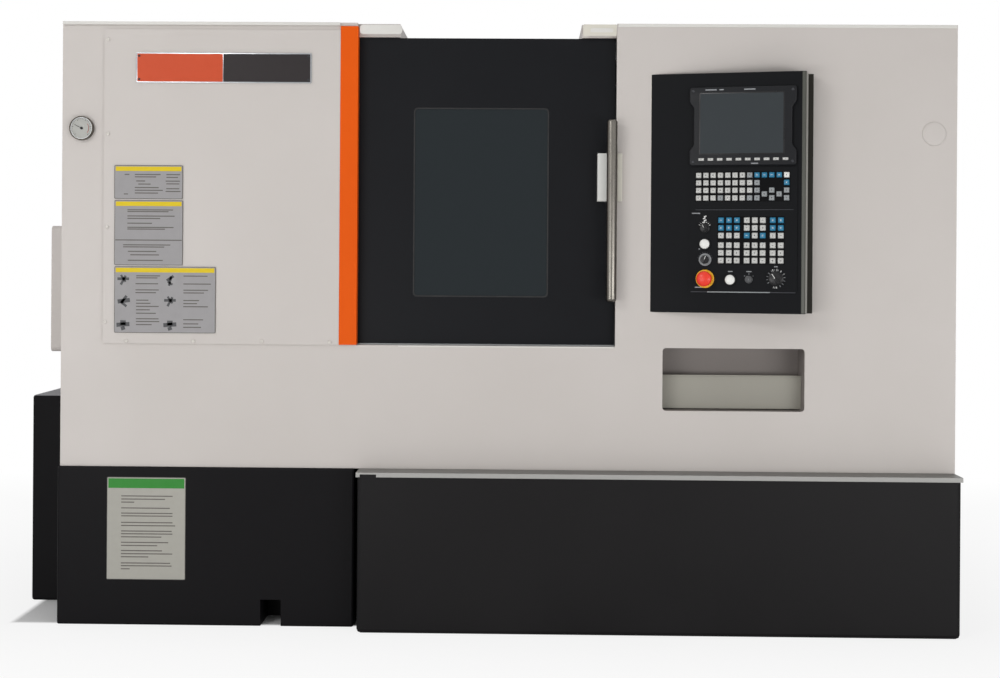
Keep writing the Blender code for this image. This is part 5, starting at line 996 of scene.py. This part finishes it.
gather(work, turned(inner_ring, 48), 4, GAUGE)
needle = GAUGE @ Matrix.Rotation(radians(62), 4, "Z")
gather(work, plate(0.0013, 0.0290, 0.0003), 2, needle @ shift(0, 0.0080, 0.0125))
gather(work, turned([(0, 0.0136), (0.0026, 0.0134), (0.0042, DIAL), (0, DIAL)], 20), 2, GAUGE)
stand("gauge", work, [gauge_case, dial_grey, knob_plastic, mark_red, zinc], instead_of=["pressure_gauge"])

cap = [(0, 0.0039), (0.0290, 0.0039), (0.0325, 0.0034), (0.0345, 0.0020), (0.0350, 0.0003), (0.0280, 0.0003),
       (0.0280, -0.0120), (0, -0.0120)]
turned_piece("blind_cap", cap, 56, facing(2.534, 0, 1.442), cream, instead_of=["hole_plug"])

# %% [markdown]
# ## Small fasteners, strips and the pocket's tray
# The headstock cover is held by enamelled button heads along its edges, since it is taken off to reach
# the belt. Folded edges catch the light, so narrow pale strips run along the front's top and along the
# door's sill as painted highlights, and small flat covers sit below the top edge. The pocket has a folded
# tray in its lower half, painted lighter than the pocket as painted light on its lower back wall.


# %% Cover screws, edge strips and pocket tray
def screws(name, places, radius, height, finish, body="frame"):
    """A piece of equal screws at some places, which rides on a body."""
    work = bmesh.new()
    for place in places:
        gather(work, socket_screw(radius, height), 0, place)
    stand(name, work, [finish], body=body)


cover_places = ((0.135, 1.704), (0.136, 1.429), (0.135, 1.157), (0.131, 0.881), (0.193, 0.826), (0.390, 0.827),
                (0.589, 0.828), (0.787, 0.827))
screws("cover_screws", [facing(along, COVER_FACE, up) for along, up in cover_places], 0.0048, 0.0024,
       painted_screw)

STRIP = 0.0012
work = bmesh.new()
# The strips are painted highlights of the folded edges; the small covers share their pale paint.
for left, right, face_y, low, high in ((0.002, 0.812, -0.0105, HEIGHT - 0.0095, HEIGHT - 0.0005),
                                       (1.620, WIDTH - 0.002, -0.0018, HEIGHT - 0.0095, HEIGHT - 0.0005),
                                       (0.986, 1.612, -0.0010, 0.8150, 0.8186)):
    gather(work, bar(on_machine(left, face_y, low), on_machine(right, face_y + STRIP, high), 0.0004))
gather(work, plate(0.124, 0.028, 0.0014, 0.010, 0.0006), 0, facing(0.930, -0.0004, 1.7375))
gather(work, plate(0.098, 0.034, 0.0014, 0.003, 0.0006), 1, facing(1.5665, -0.0004, 1.7375))
gather(work, plate(0.066, 0.012, 0.0012, 0.004, 0.0006), 0, facing(1.5720, -0.0016, 1.7375))
stand("edge_strips", work, [pale_cover_and_edge_highlight, switch_plastic])

# The tray is a lighter sheet across the pocket's lower half, standing for its lit lower back wall as painted
# light.
work = bmesh.new()
pocket_low, pocket_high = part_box("document_pocket")
tray_width = pocket_high.x - pocket_low.x - 0.0045
tray_middle = (pocket_low.x + pocket_high.x) / 2 - CORNER.x
gather(work, plate(tray_width, 0.095, 0.0012), 0, facing(tray_middle, 0.055, 0.6855))
gather(work, plate(tray_width, 0.004, 0.0060, 0.0, 0.0015), 0, facing(tray_middle, 0.055, 0.7345))
stand("pocket_tray", work, [tray_painted_light])

# %% [markdown]
# ## Screws of the chuck and the turret
# Three pairs of bolts hold the chuck to the spindle, between its jaws, and each stepped jaw has two of its
# own. Two clamp screws hold the tool at each station of the turret. The meshes of the solids tell where
# their axes and jaws are: the mean of a ring of points is its axis.


# %% Screws of the moving parts
def mean_of(name, least=0.0, axis=None):
    """The mean place of a solid's points, or of those at least so far from an axis along X."""
    points = [vert.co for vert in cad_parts[name].data.vertices
              if axis is None or Vector((vert.co.y - axis.y, vert.co.z - axis.z)).length > least]
    return sum(points, Vector()) / len(points)


def on_face(x, axis, angle, reach, aside=0.0, turn=pi / 2):
    """A place on a face across the X axis, at an angle and reach from the axis, moved aside along its rim."""
    spot = Vector((x, axis.y + reach * cos(angle) - aside * sin(angle),
                   axis.z + reach * sin(angle) + aside * cos(angle)))
    return Matrix.Translation(spot) @ Matrix.Rotation(turn, 4, "Y")


chuck_low, chuck_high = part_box("chuck_body")
chuck_axis = (chuck_low + chuck_high) / 2
bolts = []
for number in (1, 2, 3):
    middle = mean_of(f"chuck_jaw_{number}")
    angle = atan2(middle.z - chuck_axis.z, middle.y - chuck_axis.y)
    bolts += [on_face(chuck_high.x, chuck_axis, angle + pi / 3 + side, 0.076) for side in (-0.25, 0.25)]
    steps = [on_face(chuck_high.x + out, chuck_axis, angle, reach)
             for out, reach in ((0.0174, 0.0875), (0.0347, 0.0670))]
    screws(f"jaw_{number}_screws", steps, 0.0060, 0.0030, blackened, f"jaw_{number}")
screws("chuck_bolts", bolts, 0.0075, 0.0040, blackened, "spindle")

DISC_FACE = on_machine(1.512, 0, 0).x
TIP_REACH = 0.214
STATIONS = 12
disc_axis = mean_of("turret_disc")
tips = [vert.co - disc_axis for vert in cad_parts["turret_disc"].data.vertices]
tips = [atan2(tip.z, tip.y) for tip in tips if Vector((tip.y, tip.z)).length > TIP_REACH]
first = atan2(sum(sin(6 * tip) for tip in tips), sum(cos(6 * tip) for tip in tips)) / 6
clamps = [on_face(DISC_FACE, disc_axis, first + tau * number / STATIONS, 0.176, aside, -pi / 2)
          for number in range(STATIONS) for aside in (-0.020, 0.020)]
screws("turret_clamp_screws", clamps, 0.0045, 0.0035, blackened, "turret")

# %% [markdown]
# ## Screws and locks of the other sides
# The side, rear and roof sheets are held by enamelled button heads along their edges, and the switch
# cabinet's two doors hang on pin hinges and close with quarter-turn locks: turned discs with a bar slot.


# %% Screws and locks of the other sides
def steps_between(first_place, last_place, count):
    """Evenly spaced places from the first to the last."""
    return [first_place + (last_place - first_place) * step / (count - 1) for step in range(count)]


TO_LEFT = Matrix.Rotation(-pi / 2, 4, "Y")
TO_RIGHT = Matrix.Rotation(pi / 2, 4, "Y")
TO_REAR = Matrix.Rotation(-pi / 2, 4, "X")
EDGE = 0.030
left_low, left_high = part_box("left_side_panel")
right_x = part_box("right_side_panel")[1].x
rear_low, rear_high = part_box("rear_panel")
heights = steps_between(0.520, HEIGHT - 0.050, 5)
roof_places = steps_between(left_low.x + 0.040, right_x - 0.040, 8)
places = []
for depth in (left_low.y + EDGE, left_high.y - EDGE):
    for height in heights:
        places += [shift(left_low.x, depth, height) @ TO_LEFT, shift(right_x, depth, height) @ TO_RIGHT]
for along in (rear_low.x + EDGE, rear_high.x - EDGE):
    places += [shift(along, rear_high.y, height) @ TO_REAR for height in heights]
for depth in (rear_low.y - 0.020, left_low.y + 0.700):
    places += [shift(along, depth, HEIGHT) for along in roof_places]
cover_low, cover_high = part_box("cylinder_cover")
for depth in (cover_low.y + 0.022, cover_high.y - 0.022):
    for height in (cover_low.z + 0.022, cover_high.z - 0.022):
        places.append(shift(cover_low.x, depth, height) @ TO_LEFT)
screws("sheet_screws", places, 0.0050, 0.0024, painted_screw)
box_low, box_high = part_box("side_cabinet")
corners = [shift(box_low.x, depth, height) @ TO_LEFT for depth in (box_low.y + 0.035, box_high.y - 0.035)
           for height in (0.040, 0.320, 0.600)]
screws("cabinet_screws", corners, 0.0055, 0.0026, blackened)

LOCK = [(0, 0.0035), (0.0100, 0.0035), (0.0115, 0.0055), (0.0150, 0.0050), (0.0160, 0.0030), (0.0160, 0.0),
        (0, 0.0)]
PIN = [(0, 0.060), (0.0040, 0.060), (0.0055, 0.0585), (0.0055, 0.0015), (0.0040, 0.0), (0, 0.0)]
rear_box_low, rear_box_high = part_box("electrical_cabinet")
seam = (rear_box_low.x + rear_box_high.x) / 2
work = bmesh.new()
for along in (seam - 0.055, seam + 0.055):
    for height in (rear_box_low.z + 0.180, rear_box_high.z - 0.180):
        lock = shift(along, rear_box_high.y, height) @ TO_REAR
        gather(work, turned(LOCK, 32), 0, lock)
        gather(work, bar((-0.0090, -0.0014, 0.0034), (0.0090, 0.0014, 0.0046), 0.0003), 1, lock)
for along in (rear_box_low.x + 0.016, rear_box_high.x - 0.016):
    for height in steps_between(rear_box_low.z + 0.150, rear_box_high.z - 0.150, 3):
        gather(work, turned(PIN, 20), 1, shift(along, rear_box_high.y - 0.0030, height - 0.030))
stand("cabinet_locks_and_hinges", work, [zinc, blackened])

# %% [markdown]
# ## Plates on the front
# The plates are thin printed sheets. They stay bare of words and signs: the name plate is a field of
# orange beside one of black, and the others are grey with a coloured field along the top and pale
# bands where print would be.


# %% Plates
SIGN_BARS = (
    ((0.034, 0.008, 0.002, 0), (0.030, 0.007, -0.002, 62), (0.024, 0.006, 0.003, -55)),
    ((0.036, 0.012, 0.000, 8), (0.026, 0.008, 0.004, 52), (0.020, 0.007, -0.010, -38)),
    ((0.038, 0.012, 0.001, 4), (0.016, 0.014, 0.006, 0), (0.012, 0.010, -0.010, 20)),
    ((0.024, 0.008, 0.006, 35), (0.028, 0.007, -0.002, 78), (0.016, 0.006, -0.008, -30)),
)


def label(name, left, right, low, high, head, head_finish, back_finish, lines, signs=()):
    """A sheet with a rim, a coloured head, lines (start, drop, reach in mm) and signs (start, drop, kind)."""
    width, height = right - left, high - low
    place = facing((left + right) / 2, COVER_FACE if low > 0.8 else -0.0103, (low + high) / 2)
    corner = place @ shift(-width / 2, height / 2, 0.0009)
    work = bmesh.new()
    gather(work, plate(width, height, 0.0006, 0.003), 4, place)
    gather(work, plate(width - 0.003, height - 0.003, 0.0004, 0.002), 0, place @ shift(0, 0, 0.0005))
    gather(work, plate(width - 0.008, head, 0.0002), 1, corner @ shift(width / 2, -head / 2 - 0.004))
    for start, drop, reach in lines:
        stroke = corner @ shift((start + reach / 2) / 1000, -drop / 1000)
        gather(work, plate(reach / 1000, 0.0030, 0.0001), 2, stroke)
    for start, drop, kind in signs:
        spot = corner @ shift(start / 1000, -drop / 1000, 0.0001)
        for length, breadth, aside, turn in SIGN_BARS[kind]:
            bend = shift(0, aside) @ Matrix.Rotation(radians(turn), 4, "Z")
            gather(work, plate(length, breadth, 0.0001), 3, spot @ bend)
    stand(name, work, [back_finish, head_finish, label_text, mark_dark, label_rim])


NAME_PLATE = facing(0.4735, COVER_FACE, 1.6225)
work = bmesh.new()
gather(work, plate(0.512, 0.088, 0.0012, 0.003, 0.0005), 0, NAME_PLATE)
gather(work, plate(0.2495, 0.081, 0.0002, 0.001), 1, NAME_PLATE @ shift(-0.1275, 0, 0.0012))
gather(work, plate(0.2535, 0.081, 0.0002, 0.001), 2, NAME_PLATE @ shift(0.1255, 0, 0.0012))
for along in (-0.247, 0.247):
    for up in (-0.034, 0.034):
        gather(work, socket_screw(0.0034, 0.0018), 3, NAME_PLATE @ shift(along, up, 0.0010))
stand("name_plate", work, [machined, plate_orange, plate_black, blackened])
label("upper_label", 0.156, 0.356, 1.240, 1.338, 0.013, label_yellow, label_grey,
      [(60, 27, 75), (60, 34, 62), (64, 46, 26), (70, 55, 36), (60, 65, 70), (60, 73, 82), (60, 81, 68),
       (152, 27, 40), (152, 35, 34), (150, 46, 42), (152, 54, 38), (152, 68, 38), (150, 76, 44), (30, 27, 14),
       (28, 84, 12)])
label("middle_label", 0.157, 0.357, 1.047, 1.236, 0.013, label_yellow, label_grey,
      [(38, 28, 133), (38, 33, 120), (38, 46, 138), (38, 53, 96), (38, 67, 72), (38, 79, 135), (38, 84, 110),
       (3, 116, 194), (26, 130, 138), (26, 136, 120), (40, 149, 83), (47, 159, 84), (40, 175, 102)])
label("lower_label", 0.158, 0.454, 0.850, 1.043, 0.013, label_yellow, label_grey,
      [(64, 27, 70), (64, 33, 62), (62, 50, 66), (62, 68, 68), (62, 76, 60), (64, 98, 36), (64, 107, 42),
       (64, 116, 66), (64, 126, 40), (64, 136, 58), (64, 152, 66), (64, 160, 68), (64, 169, 46),
       (202, 27, 70), (202, 50, 80), (202, 68, 72), (202, 76, 60), (202, 98, 46), (202, 107, 40),
       (202, 116, 72), (202, 154, 58), (202, 166, 44), (202, 176, 52)],
      [(26, 38, 0), (28, 100, 1), (26, 170, 2), (163, 40, 3), (163, 100, 0), (163, 170, 2)])
label("base_label", 0.141, 0.371, 0.132, 0.430, 0.028, label_green, label_pale,
      [(42, 55, 150), (42, 64, 128), (42, 73, 38), (42, 90, 142), (42, 105, 150), (42, 113, 150),
       (42, 132, 150), (42, 141, 158), (42, 157, 148), (42, 165, 150), (42, 174, 118), (42, 190, 138),
       (42, 199, 106), (42, 214, 120), (42, 223, 150), (42, 232, 80), (42, 250, 144), (42, 258, 148),
       (42, 267, 26)])
